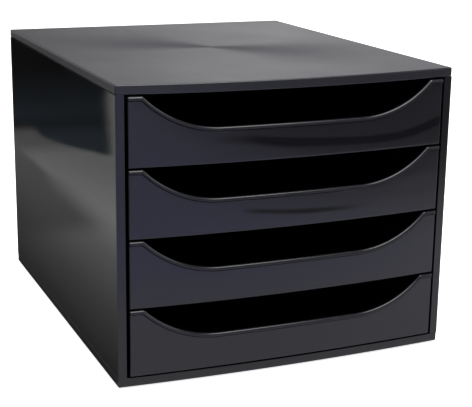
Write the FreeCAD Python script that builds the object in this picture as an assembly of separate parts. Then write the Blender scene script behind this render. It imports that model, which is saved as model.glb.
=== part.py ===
import FreeCAD, Part

# Desktop cabinet with four pull-out trays for A4 paper and folders.
# The case is five moulded panels: two identical caps (lid and base), two side panels that carry
# the runners, and a back panel held in slots. Each tray hangs by its side flanges on ledges of
# the side panels and slides out forwards until a bump on its flange meets a catch.
# Millimetres. +Z up, +Y to the back, the origin on the desk under the middle of the cabinet.

import math
import os

from FreeCAD import Vector

# ---- case ----
WIDTH = 284.0            # over the side panels
CASE_DEPTH = 348.0       # back face to the foremost point of the bowed lid
CASE_HEIGHT = 235.5      # underside of the base to the top of the lid
BOW = 5.0                # how far the middle of the front stands ahead of its corners
WALL = 2.2               # wall of every case panel
CAP_HEIGHT = 7.2         # height of the rim of the lid and of the base
FRAME_WIDTH = 6.8        # width of the side panel's front edge
EDGE_RADIUS = 0.8        # rounding of the outer edges
JOINT_GAP = 0.1          # open joint between a side panel and a cap

# ---- ribs, tongues and sockets of the case ----
RIB = 1.4                # thickness of every inner rib of the case
STIFFENER_HEIGHT = 3.2   # ribs under the lid and on the base
STIFFENER_COUNT_ALONG = 4
STIFFENER_COUNT_ACROSS = 5
TONGUE = 1.8             # thickness of a side panel's tongue
TONGUE_LENGTH = 32.0
TONGUE_HEIGHT = 4.4
TONGUE_COUNT = 4         # on each long edge of a side panel
TONGUE_CLEARANCE = 0.15
BARB = 0.7               # how far a tongue's barb stands out
BARB_HEIGHT = 1.6
WINDOW_CLEARANCE = 0.3

# ---- back panel ----
BACK_CLEARANCE = 0.2     # around the back panel in its slots
SLOT_RIB_REACH = 7.0     # how far the back slot's rib stands off the side wall

# ---- trays ----
TRAY_COUNT = 4
TRAY_GAP = 1.5           # above, between and below the tray fronts
SIDE_GAP = 2.5           # between a tray front and the side panel's front edge
PROUD = 1.0              # the tray fronts stand ahead of the case by this much
FRONT = 2.4              # thickness of a tray front
LIP_HEIGHT = 28.0        # middle of the scooped front edge above the tray's underside
SCOOP_RADIUS = 87.0
TAB_WIDTH = 11.5         # flat top of the front on either side of the scoop
BEAD_WIDTH = 3.0         # raised rim along the tabs and the scoop
BEAD_PROUD = 1.0
SKIN = 1.8               # floor and walls of a tray
TRAY_WALL_HEIGHT = 46.0  # top of the flange above the tray's underside
CORNER_RADIUS = 5.0      # upright corners at the back of a tray
FLOOR_RADIUS = 2.5       # inside corner between floor and walls

# ---- runners ----
FLANGE_REACH = 4.5       # flange outside the side wall
FLANGE = 2.0
LEDGE = 2.0              # thickness of a ledge and of the rail above it
LEDGE_REACH = 10.3       # how far a ledge stands off the side wall
RUNNER_GAP = 1.5         # between a ledge's edge and the tray's side wall
SLIDE_CLEARANCE = 0.3    # under a flange, and under a catch
RUNNER_SETBACK = 12.0    # the ledges start this far behind the front edge of the side panel
CLOSE_GAP = 0.3          # behind a closed tray
BUMP = 2.0               # height of the stop bump on the flange
BUMP_WIDTH = 3.0
BUMP_LENGTH = 6.0
BUMP_SETBACK = 8.0       # from the back end of the flange
CATCH_LENGTH = 6.0
STOP_GAP = 0.3
TRAVEL = 255.0           # how far a tray pulls out

# ---- feet ----
FOOT_RADIUS = 8.0
FOOT_PROUD = 1.5         # below the base
FOOT_SEAT = 1.0          # depth of the recess that holds a foot
FOOT_CLEARANCE = 0.2
FOOT_INSET_X = 24.0      # centre of a foot from the side of the case
FOOT_INSET_Y = 28.0      # centre of a foot from the front corner and from the back
FOOT_BOSS = 2.5          # wall around the recess
FOOT_CHAMFER = 0.5

TOUCH = 1e-6             # edges this near to a plane lie in it

# ---- worked out ----
HALF = WIDTH / 2
BACK_Y = (CASE_DEPTH + PROUD + BEAD_PROUD) / 2
FRONT_Y = BACK_Y - CASE_DEPTH
BOW_RADIUS = (HALF ** 2 + BOW ** 2) / (2 * BOW)
BOW_CENTRE_Y = FRONT_Y + BOW_RADIUS
CORNER_Y = FRONT_Y + BOW
BASE_Z = FOOT_PROUD
TOP_Z = BASE_Z + CASE_HEIGHT
MIDDLE_Z = (BASE_Z + TOP_Z) / 2
OPENING_LOW = BASE_Z + CAP_HEIGHT
OPENING_HIGH = TOP_Z - CAP_HEIGHT
INNER_HALF = HALF - WALL
FRONT_HALF = HALF - FRAME_WIDTH - SIDE_GAP
FRONT_HEIGHT = (OPENING_HIGH - OPENING_LOW - (TRAY_COUNT + 1) * TRAY_GAP) / TRAY_COUNT
PITCH = FRONT_HEIGHT + TRAY_GAP
LEDGE_HALF = INNER_HALF - LEDGE_REACH
TRAY_HALF = LEDGE_HALF - RUNNER_GAP
SOCKET_HALF = INNER_HALF - TONGUE - 2 * TONGUE_CLEARANCE
BACK_PANEL_Y = BACK_Y - WALL - BACK_CLEARANCE
SLOT_RIB_Y = BACK_PANEL_Y - WALL - BACK_CLEARANCE
TRAY_BACK_Y = SLOT_RIB_Y - RIB - CLOSE_GAP
BUMP_Y = TRAY_BACK_Y - BUMP_SETBACK - BUMP_LENGTH
CATCH_Y = BUMP_Y - TRAVEL - STOP_GAP
FLANGE_HALF = TRAY_HALF + FLANGE_REACH
RAIL_Z = TRAY_WALL_HEIGHT + BUMP + SLIDE_CLEARANCE
TRAY_Z = [OPENING_HIGH - TRAY_GAP - FRONT_HEIGHT - i * PITCH for i in range(TRAY_COUNT)]


def block(x, y, z):
    """A box from three (low, high) pairs."""
    size = (x[1] - x[0], y[1] - y[0], z[1] - z[0])
    return Part.makeBox(*size, Vector(x[0], y[0], z[0]))


def line(a, b):
    """A straight edge between two points."""
    return Part.LineSegment(Vector(*a), Vector(*b)).toShape()


def arc(a, through, b):
    """An arc edge through three points."""
    return Part.Arc(Vector(*a), Vector(*through), Vector(*b)).toShape()


def prism(edges, direction):
    """The solid swept by a closed flat outline along a direction."""
    return Part.Face(Part.Wire(edges)).extrude(Vector(*direction))


def bowed_y(x, ahead):
    """Y on the bowed front at x, or on the like surface that lies ahead of it."""
    return BOW_CENTRE_Y - math.sqrt((BOW_RADIUS + ahead) ** 2 - x ** 2)


def bowed_block(half, back, ahead, z):
    """A block with a bowed front, as wide as 2 * half."""
    side_y = bowed_y(half, ahead)
    edges = [
        line((-half, back, z[0]), (half, back, z[0])),
        line((half, back, z[0]), (half, side_y, z[0])),
        arc((half, side_y, z[0]), (0, bowed_y(0, ahead), z[0]), (-half, side_y, z[0])),
        line((-half, side_y, z[0]), (-half, back, z[0])),
    ]
    return prism(edges, (0, 0, z[1] - z[0]))


def bowed_shell(half, outer, inner, z):
    """The bowed sheet between two surfaces, given by how far each lies ahead of the front."""
    outer_y = bowed_y(half, outer)
    inner_y = bowed_y(half, inner)
    edges = [
        arc((-half, outer_y, z[0]), (0, bowed_y(0, outer), z[0]), (half, outer_y, z[0])),
        line((half, outer_y, z[0]), (half, inner_y, z[0])),
        arc((half, inner_y, z[0]), (0, bowed_y(0, inner), z[0]), (-half, inner_y, z[0])),
        line((-half, inner_y, z[0]), (-half, outer_y, z[0])),
    ]
    return prism(edges, (0, 0, z[1] - z[0]))


def is_upright(edge):
    """Whether an edge is straight and vertical."""
    a = edge.valueAt(edge.FirstParameter)
    b = edge.valueAt(edge.LastParameter)
    return abs(a.x - b.x) < TOUCH and abs(a.y - b.y) < TOUCH and abs(a.z - b.z) > TOUCH


def back_corners(shape):
    """The upright edges at the back of a shape."""
    back = shape.BoundBox.YMax
    return [e for e in shape.Edges if is_upright(e) and e.BoundBox.YMin > back - TOUCH]


def lies_at(edge, z):
    """Whether an edge lies at one height."""
    return abs(edge.BoundBox.ZMin - z) < TOUCH and abs(edge.BoundBox.ZMax - z) < TOUCH


def mirror_x(shape):
    """The other hand of a shape, across the middle of the cabinet."""
    return shape.mirror(Vector(0, 0, 0), Vector(1, 0, 0))


def mirror_z(shape):
    """A shape turned over across the middle height of the case."""
    return shape.mirror(Vector(0, 0, MIDDLE_Z), Vector(0, 0, 1))


def one_solid(shape):
    """The single solid of a joined shape, without seams between faces in one plane."""
    return shape.removeSplitter().Solids[0]


def spread(count, low, high):
    """Places that share out a stretch evenly, with a full step left free at each end."""
    step = (high - low) / (count + 1)
    return [low + step * (i + 1) for i in range(count)]


def tongue_places():
    """Middles of the tongues along a side panel."""
    return spread(TONGUE_COUNT, CORNER_Y, SLOT_RIB_Y)


# ---- case ----


def cap_shell():
    """The plate and rim of the lid."""
    outer = bowed_block(HALF, BACK_Y, 0, (OPENING_HIGH, TOP_Z))
    rounded = [e for e in outer.Edges if is_upright(e) or lies_at(e, TOP_Z)]
    outer = outer.makeFillet(EDGE_RADIUS, rounded)
    return outer.cut(bowed_block(INNER_HALF, BACK_Y - WALL, -WALL, (OPENING_HIGH, TOP_Z - WALL)))


def cap_ribs():
    """Socket ribs, back rib and stiffeners under the lid's plate."""
    under = TOP_Z - WALL
    full = (OPENING_HIGH, under)
    inside = SOCKET_HALF - RIB
    ribs = [block((-inside, inside), (SLOT_RIB_Y - RIB, SLOT_RIB_Y), full)]
    for x in (-SOCKET_HALF, SOCKET_HALF - RIB):
        rib = block((x, x + RIB), (CORNER_Y + WALL, SLOT_RIB_Y), full)
        ribs.append(rib.cut(Part.makeCompound([barb_window(y) for y in tongue_places()])))
    low = (under - STIFFENER_HEIGHT, under)
    front = CORNER_Y + WALL
    for x in spread(STIFFENER_COUNT_ALONG, -inside, inside):
        long_y = (bowed_y(x, -WALL), SLOT_RIB_Y - RIB)
        ribs.append(block((x - RIB / 2, x + RIB / 2), long_y, low))
    for y in spread(STIFFENER_COUNT_ACROSS, front, SLOT_RIB_Y):
        ribs.append(block((-inside, inside), (y - RIB / 2, y + RIB / 2), low))
    return ribs


def barb_z():
    """Heights of the barb on an upper tongue."""
    top = OPENING_HIGH - JOINT_GAP + TONGUE_HEIGHT
    return (top - BARB_HEIGHT, top)


def barb_window(y):
    """The opening through both socket ribs that a pair of barbs snaps into."""
    half = TONGUE_LENGTH / 2 + WINDOW_CLEARANCE
    low = barb_z()[0] - WINDOW_CLEARANCE
    return block((-SOCKET_HALF, SOCKET_HALF), (y - half, y + half), (low, TOP_Z - WALL))


def cap():
    """The lid, which is the same moulding as the base."""
    shape = cap_shell().fuse(cap_ribs())
    return one_solid(shape)


def foot_places():
    """Centres of the four feet, keyed by name."""
    x = HALF - FOOT_INSET_X
    front = CORNER_Y + FOOT_INSET_Y
    back = BACK_Y - FOOT_INSET_Y
    return {
        "foot_front_left": Vector(-x, front, 0),
        "foot_front_right": Vector(x, front, 0),
        "foot_rear_left": Vector(-x, back, 0),
        "foot_rear_right": Vector(x, back, 0),
    }


def base():
    """The lid turned over, with a recess for each foot."""
    shape = mirror_z(cap())
    seat = FOOT_RADIUS + FOOT_CLEARANCE
    for place in foot_places().values():
        at = place + Vector(0, 0, BASE_Z)
        boss = Part.makeCylinder(seat + FOOT_BOSS, WALL + FOOT_SEAT, at)
        shape = shape.fuse(boss).cut(Part.makeCylinder(seat, FOOT_SEAT, at))
    return one_solid(shape)


def foot(place):
    """A round non-slip pad, seated in its recess."""
    pad = Part.makeCylinder(FOOT_RADIUS, FOOT_PROUD + FOOT_SEAT, place)
    return pad.makeChamfer(FOOT_CHAMFER, [e for e in pad.Edges if lies_at(e, 0)])


def side_tray():
    """The right side panel's wall with its turned-in edges."""
    low = OPENING_LOW + JOINT_GAP
    high = OPENING_HIGH - JOINT_GAP
    outer = block((HALF - FRAME_WIDTH, HALF), (FRONT_Y, BACK_Y), (low, high))
    outer = outer.common(bowed_block(HALF, BACK_Y, 0, (low, high)))
    rounded = [e for e in outer.Edges if is_upright(e) and e.BoundBox.XMin > HALF - TOUCH]
    outer = outer.makeFillet(EDGE_RADIUS, rounded)
    pocket_y = (CORNER_Y + WALL, BACK_Y - WALL)
    pocket = block((HALF - FRAME_WIDTH, INNER_HALF), pocket_y, (low + WALL, high - WALL))
    return outer.cut(pocket)


def tongues():
    """Snap tongues on the upper edge of the right side panel."""
    low = OPENING_HIGH - JOINT_GAP
    outside = INNER_HALF - TONGUE_CLEARANCE
    inside = outside - TONGUE
    barb_low, barb_high = barb_z()
    parts = []
    for y in tongue_places():
        span = (y - TONGUE_LENGTH / 2, y + TONGUE_LENGTH / 2)
        parts.append(block((inside, outside), span, (low, low + TONGUE_HEIGHT)))
        wedge = [
            line((inside, span[0], barb_low), (inside - BARB, span[0], barb_low)),
            line((inside - BARB, span[0], barb_low), (inside, span[0], barb_high)),
            line((inside, span[0], barb_high), (inside, span[0], barb_low)),
        ]
        parts.append(prism(wedge, (0, TONGUE_LENGTH, 0)))
    return parts


def runner(tray_z):
    """Ledge, rail and catch for the right flange of one tray."""
    front = CORNER_Y + RUNNER_SETBACK
    back = SLOT_RIB_Y - RIB
    reach = (LEDGE_HALF, INNER_HALF)
    ledge_top = tray_z + TRAY_WALL_HEIGHT - FLANGE - SLIDE_CLEARANCE
    rail_low = tray_z + RAIL_Z
    catch_low = tray_z + TRAY_WALL_HEIGHT + SLIDE_CLEARANCE
    return [
        block(reach, (front, back), (ledge_top - LEDGE, ledge_top)),
        block(reach, (front, back), (rail_low, rail_low + LEDGE)),
        block(reach, (CATCH_Y - CATCH_LENGTH, CATCH_Y), (catch_low, rail_low)),
    ]


def right_side_panel():
    """A side panel with runners, tongues and the back panel's slot."""
    parts = tongues()
    parts += [mirror_z(part) for part in parts]
    for tray_z in TRAY_Z:
        parts += runner(tray_z)
    slot_x = (INNER_HALF - SLOT_RIB_REACH, INNER_HALF)
    slot_z = (OPENING_LOW + JOINT_GAP, OPENING_HIGH - JOINT_GAP)
    parts.append(block(slot_x, (SLOT_RIB_Y - RIB, SLOT_RIB_Y), slot_z))
    slot = block((HALF - FRAME_WIDTH, INNER_HALF), (SLOT_RIB_Y, BACK_Y - WALL), slot_z)
    return one_solid(side_tray().fuse(parts).cut(slot))


def back_panel():
    """The plain panel that slides into the slots at the back."""
    half = INNER_HALF - BACK_CLEARANCE
    low = BASE_Z + WALL + BACK_CLEARANCE
    high = TOP_Z - WALL - BACK_CLEARANCE
    return block((-half, half), (BACK_PANEL_Y - WALL, BACK_PANEL_Y), (low, high))


# ---- trays ----


def front_outline(inset, height):
    """Closed outline of a tray front with its scoop, the upper edge drawn in by inset."""
    top = height - inset
    lip = LIP_HEIGHT - inset
    radius = SCOOP_RADIUS + inset
    centre_z = LIP_HEIGHT + SCOOP_RADIUS
    tab = FRONT_HALF - TAB_WIDTH
    flat = tab - math.sqrt(SCOOP_RADIUS ** 2 - (centre_z - height) ** 2)
    corner = flat + math.sqrt(radius ** 2 - (centre_z - top) ** 2)
    turn = math.asin((corner - flat) / radius) / 2
    middle = (flat + radius * math.sin(turn), centre_z - radius * math.cos(turn))
    y = FRONT_Y - CASE_DEPTH
    return [
        line((-FRONT_HALF, y, 0), (FRONT_HALF, y, 0)),
        line((FRONT_HALF, y, 0), (FRONT_HALF, y, top)),
        line((FRONT_HALF, y, top), (corner, y, top)),
        arc((corner, y, top), (middle[0], y, middle[1]), (flat, y, lip)),
        line((flat, y, lip), (-flat, y, lip)),
        arc((-flat, y, lip), (-middle[0], y, middle[1]), (-corner, y, top)),
        line((-corner, y, top), (-FRONT_HALF, y, top)),
        line((-FRONT_HALF, y, top), (-FRONT_HALF, y, 0)),
    ]


def tray_front():
    """The bowed front with its scoop and raised rim, standing at height 0."""
    through = (0, 2 * CASE_DEPTH, 0)
    whole = prism(front_outline(0, FRONT_HEIGHT), through)
    inner = prism(front_outline(BEAD_WIDTH, FRONT_HEIGHT), through)
    height = (0, FRONT_HEIGHT)
    sheet = bowed_shell(FRONT_HALF, PROUD, PROUD - FRONT, height).common(whole)
    bead = bowed_shell(FRONT_HALF, PROUD + BEAD_PROUD, PROUD, height).common(whole.cut(inner))
    return [sheet, bead]


def tray_pan():
    """Floor, side walls and back wall."""
    inner_front = PROUD - FRONT
    outer = bowed_block(TRAY_HALF, TRAY_BACK_Y, inner_front, (0, TRAY_WALL_HEIGHT))
    outer = outer.makeFillet(CORNER_RADIUS, back_corners(outer))
    room_z = (SKIN, TRAY_WALL_HEIGHT)
    room = bowed_block(TRAY_HALF - SKIN, TRAY_BACK_Y - SKIN, inner_front, room_z)
    room = room.makeFillet(CORNER_RADIUS - SKIN, back_corners(room))
    room = room.makeFillet(FLOOR_RADIUS, [e for e in room.Edges if lies_at(e, SKIN)])
    return outer.cut(room)


def right_flange():
    """The flange on the right of a tray, with its stop bump."""
    low = TRAY_WALL_HEIGHT - FLANGE
    inside = TRAY_HALF - SKIN / 2
    front = bowed_y(FLANGE_HALF, PROUD - FRONT)
    bump_x = (FLANGE_HALF - BUMP_WIDTH, FLANGE_HALF)
    bump_z = (low, TRAY_WALL_HEIGHT + BUMP)
    return [
        block((inside, FLANGE_HALF), (front, TRAY_BACK_Y - CORNER_RADIUS), (low, TRAY_WALL_HEIGHT)),
        block(bump_x, (BUMP_Y, BUMP_Y + BUMP_LENGTH), bump_z),
    ]


def tray():
    """One pull-out tray, moulded in one piece, with its underside at height 0."""
    flanges = right_flange()
    flanges += [mirror_x(part) for part in flanges]
    return one_solid(tray_pan().fuse(tray_front() + flanges))


# ---- all pieces ----


def pieces():
    """Every piece of the cabinet, keyed by name."""
    right = right_side_panel()
    found = {
        "top_panel": cap(),
        "bottom_panel": base(),
        "left_side_panel": mirror_x(right),
        "right_side_panel": right,
        "back_panel": back_panel(),
    }
    for name, place in foot_places().items():
        found[name] = foot(place)
    one_tray = tray()
    for number, tray_z in enumerate(TRAY_Z, start=1):
        found[f"drawer_{number}"] = one_tray.translated(Vector(0, 0, tray_z))
    return found


os.makedirs("parts", exist_ok=True)
for node, shape in pieces().items():
    shape.exportStep(f"parts/{node}.step")
    print(f"{node}: {shape.Volume / 1000:.1f} cm3, valid {shape.isValid()}, solids {len(shape.Solids)}")
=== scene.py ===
"""Desktop drawer cabinet in black moulded plastic: a closed case with four scooped trays.

The case is a lid, a base, two side panels that carry the runners, a back panel and four feet.
Each sub-assembly is a class that holds its sizes, builds its meshes and dresses them. Metres,
+Z up and +Y to the back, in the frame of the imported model.
"""

import logging
import math
from collections.abc import Callable, Iterable, Mapping, Sequence
from dataclasses import dataclass, field
from enum import Enum
from typing import Any, Union

import bmesh
import bpy
from mathutils import Matrix, Vector

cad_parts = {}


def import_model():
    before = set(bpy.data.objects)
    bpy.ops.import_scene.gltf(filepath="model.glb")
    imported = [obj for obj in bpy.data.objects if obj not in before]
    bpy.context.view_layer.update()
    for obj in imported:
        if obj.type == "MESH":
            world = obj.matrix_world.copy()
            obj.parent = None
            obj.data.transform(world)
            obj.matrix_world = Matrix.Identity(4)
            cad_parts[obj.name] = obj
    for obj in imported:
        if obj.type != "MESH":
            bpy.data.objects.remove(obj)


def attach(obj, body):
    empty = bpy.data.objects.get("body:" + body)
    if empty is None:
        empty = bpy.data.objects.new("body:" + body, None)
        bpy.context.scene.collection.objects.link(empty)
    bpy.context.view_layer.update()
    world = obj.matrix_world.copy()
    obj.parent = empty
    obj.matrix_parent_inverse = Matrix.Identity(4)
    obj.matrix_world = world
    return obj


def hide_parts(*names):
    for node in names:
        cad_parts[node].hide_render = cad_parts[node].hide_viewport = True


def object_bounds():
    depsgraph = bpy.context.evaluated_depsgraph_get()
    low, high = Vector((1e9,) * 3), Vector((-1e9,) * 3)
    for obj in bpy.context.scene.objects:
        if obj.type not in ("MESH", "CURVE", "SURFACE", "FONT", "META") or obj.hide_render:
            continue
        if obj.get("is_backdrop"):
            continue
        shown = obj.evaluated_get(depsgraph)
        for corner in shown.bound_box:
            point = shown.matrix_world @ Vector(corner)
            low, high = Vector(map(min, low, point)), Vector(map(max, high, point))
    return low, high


log = logging.getLogger("cabinet")

Span = tuple[float, float]
Triple = tuple[float, float, float]
Stop = tuple[float, Triple]


class Slot(Enum):
    """The record's finish slots."""

    CASE = "case_plastic"
    TRAY = "tray_plastic"
    FOOT = "foot_rubber"


class Hand(Enum):
    """The side of the cabinet that a part belongs to, as the sign of its x."""

    LEFT = -1
    RIGHT = 1


# ---- node trees ----


def _operator(operation: str, swapped: bool = False) -> Callable[["Signal", "Operand"], "Signal"]:
    """Makes one of Signal's operators.

    Args:
        operation: the operation of its Math node.
        swapped: whether the other operand comes first.

    Returns:
        The method.
    """

    def method(self: "Signal", other: "Operand") -> "Signal":
        """The Math node's result."""
        return self.bench.math(operation, *((other, self) if swapped else (self, other)))

    return method


class Signal:
    """A socket's value in an expression: every operator adds its Math node."""

    def __init__(self, bench: "NodeBench", socket: bpy.types.NodeSocket) -> None:
        """Keeps the socket and the bench that adds nodes to its tree."""
        self.bench = bench
        self.socket = socket

    __add__ = __radd__ = _operator("ADD")
    __mul__ = __rmul__ = _operator("MULTIPLY")
    __sub__, __rsub__ = _operator("SUBTRACT"), _operator("SUBTRACT", swapped=True)
    __truediv__, __rtruediv__ = _operator("DIVIDE"), _operator("DIVIDE", swapped=True)
    __gt__ = _operator("GREATER_THAN")


Operand = Union[Signal, float]


class NodeBench:
    """Adds nodes to one shader or geometry tree."""

    def __init__(self, tree: bpy.types.NodeTree) -> None:
        """Keeps the tree."""
        self.tree = tree

    def node(
        self,
        kind: str,
        settings: Mapping[str, Any] | None = None,
        feeds: Mapping[str | int, Any] | None = None,
    ) -> bpy.types.Node:
        """Adds one node.

        Args:
            kind: the node's type.
            settings: its properties, set first; "stops" holds a ramp's (place, colour) pairs.
            feeds: a value or a link for each input, by index, identifier or name.

        Returns:
            The node.
        """
        made = self.tree.nodes.new(kind)
        for name, value in (settings or {}).items():
            if name == "stops":
                self._set_stops(made.color_ramp, value)
            else:
                setattr(made, name, value)
        for key, value in (feeds or {}).items():
            socket = self._socket(made.inputs, key)
            if isinstance(value, Signal):
                self.tree.links.new(value.socket, socket)
            else:
                socket.default_value = (*value, 1.0) if socket.type == "RGBA" else value
        return made

    @staticmethod
    def _set_stops(ramp: bpy.types.ColorRamp, stops: Sequence[Stop]) -> None:
        """Gives a colour ramp its stops.

        Args:
            ramp: the ramp.
            stops: the place and the colour of each stop, with the places from 0 to 1.
        """
        while len(ramp.elements) > len(stops):
            ramp.elements.remove(ramp.elements[-1])
        while len(ramp.elements) < len(stops):
            ramp.elements.new(1.0)
        for element, (place, colour) in zip(ramp.elements, stops):
            element.position = place
            element.color = (*colour, 1.0)

    @staticmethod
    def _socket(sockets: bpy.types.bpy_prop_collection, key: str | int) -> bpy.types.NodeSocket:
        """Finds a socket.

        Args:
            sockets: a node's inputs or outputs.
            key: its index, identifier or name.

        Returns:
            The socket.
        """
        if isinstance(key, int):
            return sockets[key]
        return next((s for s in sockets if s.identifier == key), None) or sockets[key]

    def out(
        self,
        kind: str,
        settings: Mapping[str, Any] | None = None,
        feeds: Mapping[str | int, Any] | None = None,
        output: str | int = 0,
    ) -> Signal:
        """Adds one node for one of its outputs.

        Args:
            kind, settings, feeds: what node() takes.
            output: the output's index, identifier or name.

        Returns:
            The output.
        """
        made = self.node(kind, settings, feeds)
        return Signal(self, self._socket(made.outputs, output))

    def math(self, operation: str, *operands: Operand) -> Signal:
        """The result of one Math node."""
        return self.out("ShaderNodeMath", {"operation": operation}, dict(enumerate(operands)))

    def vector(self, operation: str, *operands: Any, output: str = "Vector") -> Signal:
        """The result of one Vector Math node; a length or a dot product is at "Value"."""
        feeds = dict(enumerate(operands))
        return self.out("ShaderNodeVectorMath", {"operation": operation}, feeds, output)

    def blend(self, share: Operand, first: Signal | Triple, second: Signal | Triple) -> Signal:
        """The colour that goes from first to second as share goes from 0 to 1."""
        feeds = {"Factor_Float": share, "A_Color": first, "B_Color": second}
        return self.out("ShaderNodeMix", {"data_type": "RGBA"}, feeds, "Result_Color")

    def ramp(self, value: Signal, low: Operand, high: Operand) -> Signal:
        """0 below low, 1 above high, and smooth between them."""
        settings = {"interpolation_type": "SMOOTHSTEP"}
        feeds = {"Value": value, "From Min": low, "From Max": high}
        return self.out("ShaderNodeMapRange", settings, feeds, "Result")

    def profile(self, value: Signal, stops: Sequence[Stop]) -> Signal:
        """The colour at a value.

        Args:
            value: where to look the colour up.
            stops: the colours by their values, from low to high.

        Returns:
            The colour, straight between the stops.
        """
        first, last = stops[0][0], stops[-1][0]
        share = (value - first) * (1.0 / (last - first))
        placed = [((at - first) / (last - first), colour) for at, colour in stops]
        return self.out("ShaderNodeValToRGB", {"stops": placed}, {"Fac": share})

    def noise(self, place: Signal, scale: Operand, detail: float) -> Signal:
        """Smooth noise from 0 to 1, of a scale and a detail."""
        feeds = {"Vector": place, "Scale": scale, "Detail": detail}
        return self.out("ShaderNodeTexNoise", None, feeds, "Fac")

    def bump(self, height: Signal, distance: float, **under: Signal) -> Signal:
        """The normal of a relief, on the one that Normal gives."""
        return self.out("ShaderNodeBump", None, {"Height": height, "Distance": distance, **under})

    def axes(self, vector: Signal) -> list[Signal]:
        """The three parts of a vector."""
        parts = self.node("ShaderNodeSeparateXYZ", None, {0: vector})
        return [Signal(self, socket) for socket in parts.outputs]

    def join(self, x: Operand, y: Operand, z: Operand) -> Signal:
        """The vector of three numbers."""
        return self.out("ShaderNodeCombineXYZ", None, {0: x, 1: y, 2: z})

    def place(self) -> Signal:
        """The place on the object."""
        return self.out("ShaderNodeTexCoord", output="Object")

    def surface(self, colour: Signal, roughness: Operand, normal: Signal) -> None:
        """Ends a material's tree with its shader.

        Args:
            colour, roughness, normal: the shader's inputs.
        """
        feeds = {"Base Color": colour, "Roughness": roughness, "Normal": normal}
        shader = self.out("ShaderNodeBsdfPrincipled", None, feeds)
        self.node("ShaderNodeOutputMaterial", None, {"Surface": shader})


def start_material(name: str) -> tuple[bpy.types.Material, NodeBench]:
    """Makes a material.

    Args:
        name: its name.

    Returns:
        The material, and the bench for its empty tree.
    """
    material = bpy.data.materials.new(name)
    material.use_nodes = True
    material.node_tree.nodes.clear()
    return material, NodeBench(material.node_tree)


class Recipe(NodeBench):
    """A Geometry Nodes tree with named inputs that makes its geometry from nothing."""

    def __init__(self, name: str, inputs: Mapping[str, Sequence[str]]) -> None:
        """Makes the empty tree.

        Args:
            name: the tree's name.
            inputs: the names of its inputs, by their type. A material is added to them.
        """
        super().__init__(bpy.data.node_groups.new(name, "GeometryNodeTree"))
        self.identifiers: dict[str, str] = {}
        sockets = self.tree.interface
        for kind, labels in {**inputs, "Material": ["Material"]}.items():
            for label in labels:
                made = sockets.new_socket(label, in_out="INPUT", socket_type=f"NodeSocket{kind}")
                self.identifiers[label] = made.identifier
        sockets.new_socket("Geometry", in_out="OUTPUT", socket_type="NodeSocketGeometry")
        self.entry = self.node("NodeGroupInput")

    def value(self, label: str) -> Signal:
        """A named input as a signal."""
        return Signal(self, self.entry.outputs[label])

    def close(self, geometry: Signal) -> None:
        """Ends the tree, with instances made real and the material set.

        Args:
            geometry: what the tree has made.
        """
        real = self.out("GeometryNodeRealizeInstances", None, {0: geometry})
        feeds = {"Geometry": real, "Material": self.value("Material")}
        dressed = self.out("GeometryNodeSetMaterial", None, feeds)
        self.node("NodeGroupOutput", None, {0: dressed})

    def cast(self, values: Mapping[str, Any]) -> bpy.types.Mesh:
        """Runs the tree once.

        Args:
            values: the value of each named input.

        Returns:
            The result as a plain mesh.
        """
        host = new_object(self.tree.name, bpy.data.meshes.new(self.tree.name))
        modifier = host.modifiers.new(self.tree.name, "NODES")
        modifier.node_group = self.tree
        for label, value in values.items():
            modifier[self.identifiers[label]] = value
        return release(host)


# ---- objects and their modifiers ----


def new_object(name: str, data: bpy.types.ID) -> bpy.types.Object:
    """Makes an object in the scene.

    Args:
        name: its name.
        data: its mesh, camera or lamp.

    Returns:
        The object.
    """
    obj = bpy.data.objects.new(name, data)
    bpy.context.scene.collection.objects.link(obj)
    return obj


def modify(obj: bpy.types.Object, kind: str, **settings: Any) -> None:
    """Adds a modifier to an object.

    Args:
        obj: the object.
        kind: the modifier's type.
        **settings: its properties.
    """
    modifier = obj.modifiers.new(kind.lower(), kind)
    for name, value in settings.items():
        setattr(modifier, name, value)


def settle(obj: bpy.types.Object) -> None:
    """Applies an object's modifiers.

    Args:
        obj: the object.
    """
    bpy.context.view_layer.update()
    depsgraph = bpy.context.evaluated_depsgraph_get()
    before = obj.data
    mesh = bpy.data.meshes.new_from_object(obj.evaluated_get(depsgraph))
    obj.modifiers.clear()
    obj.data = mesh
    bpy.data.meshes.remove(before)


def release(obj: bpy.types.Object) -> bpy.types.Mesh:
    """Applies an object's modifiers and removes the object.

    Args:
        obj: the object.

    Returns:
        Its mesh.
    """
    settle(obj)
    mesh = obj.data
    bpy.data.objects.remove(obj)
    return mesh


def drop(obj: bpy.types.Object) -> None:
    """Removes an object and its mesh.

    Args:
        obj: the object.
    """
    mesh = obj.data
    bpy.data.objects.remove(obj)
    bpy.data.meshes.remove(mesh)


# ---- finishes ----

EDGE_ATTRIBUTE = "edge"


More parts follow.
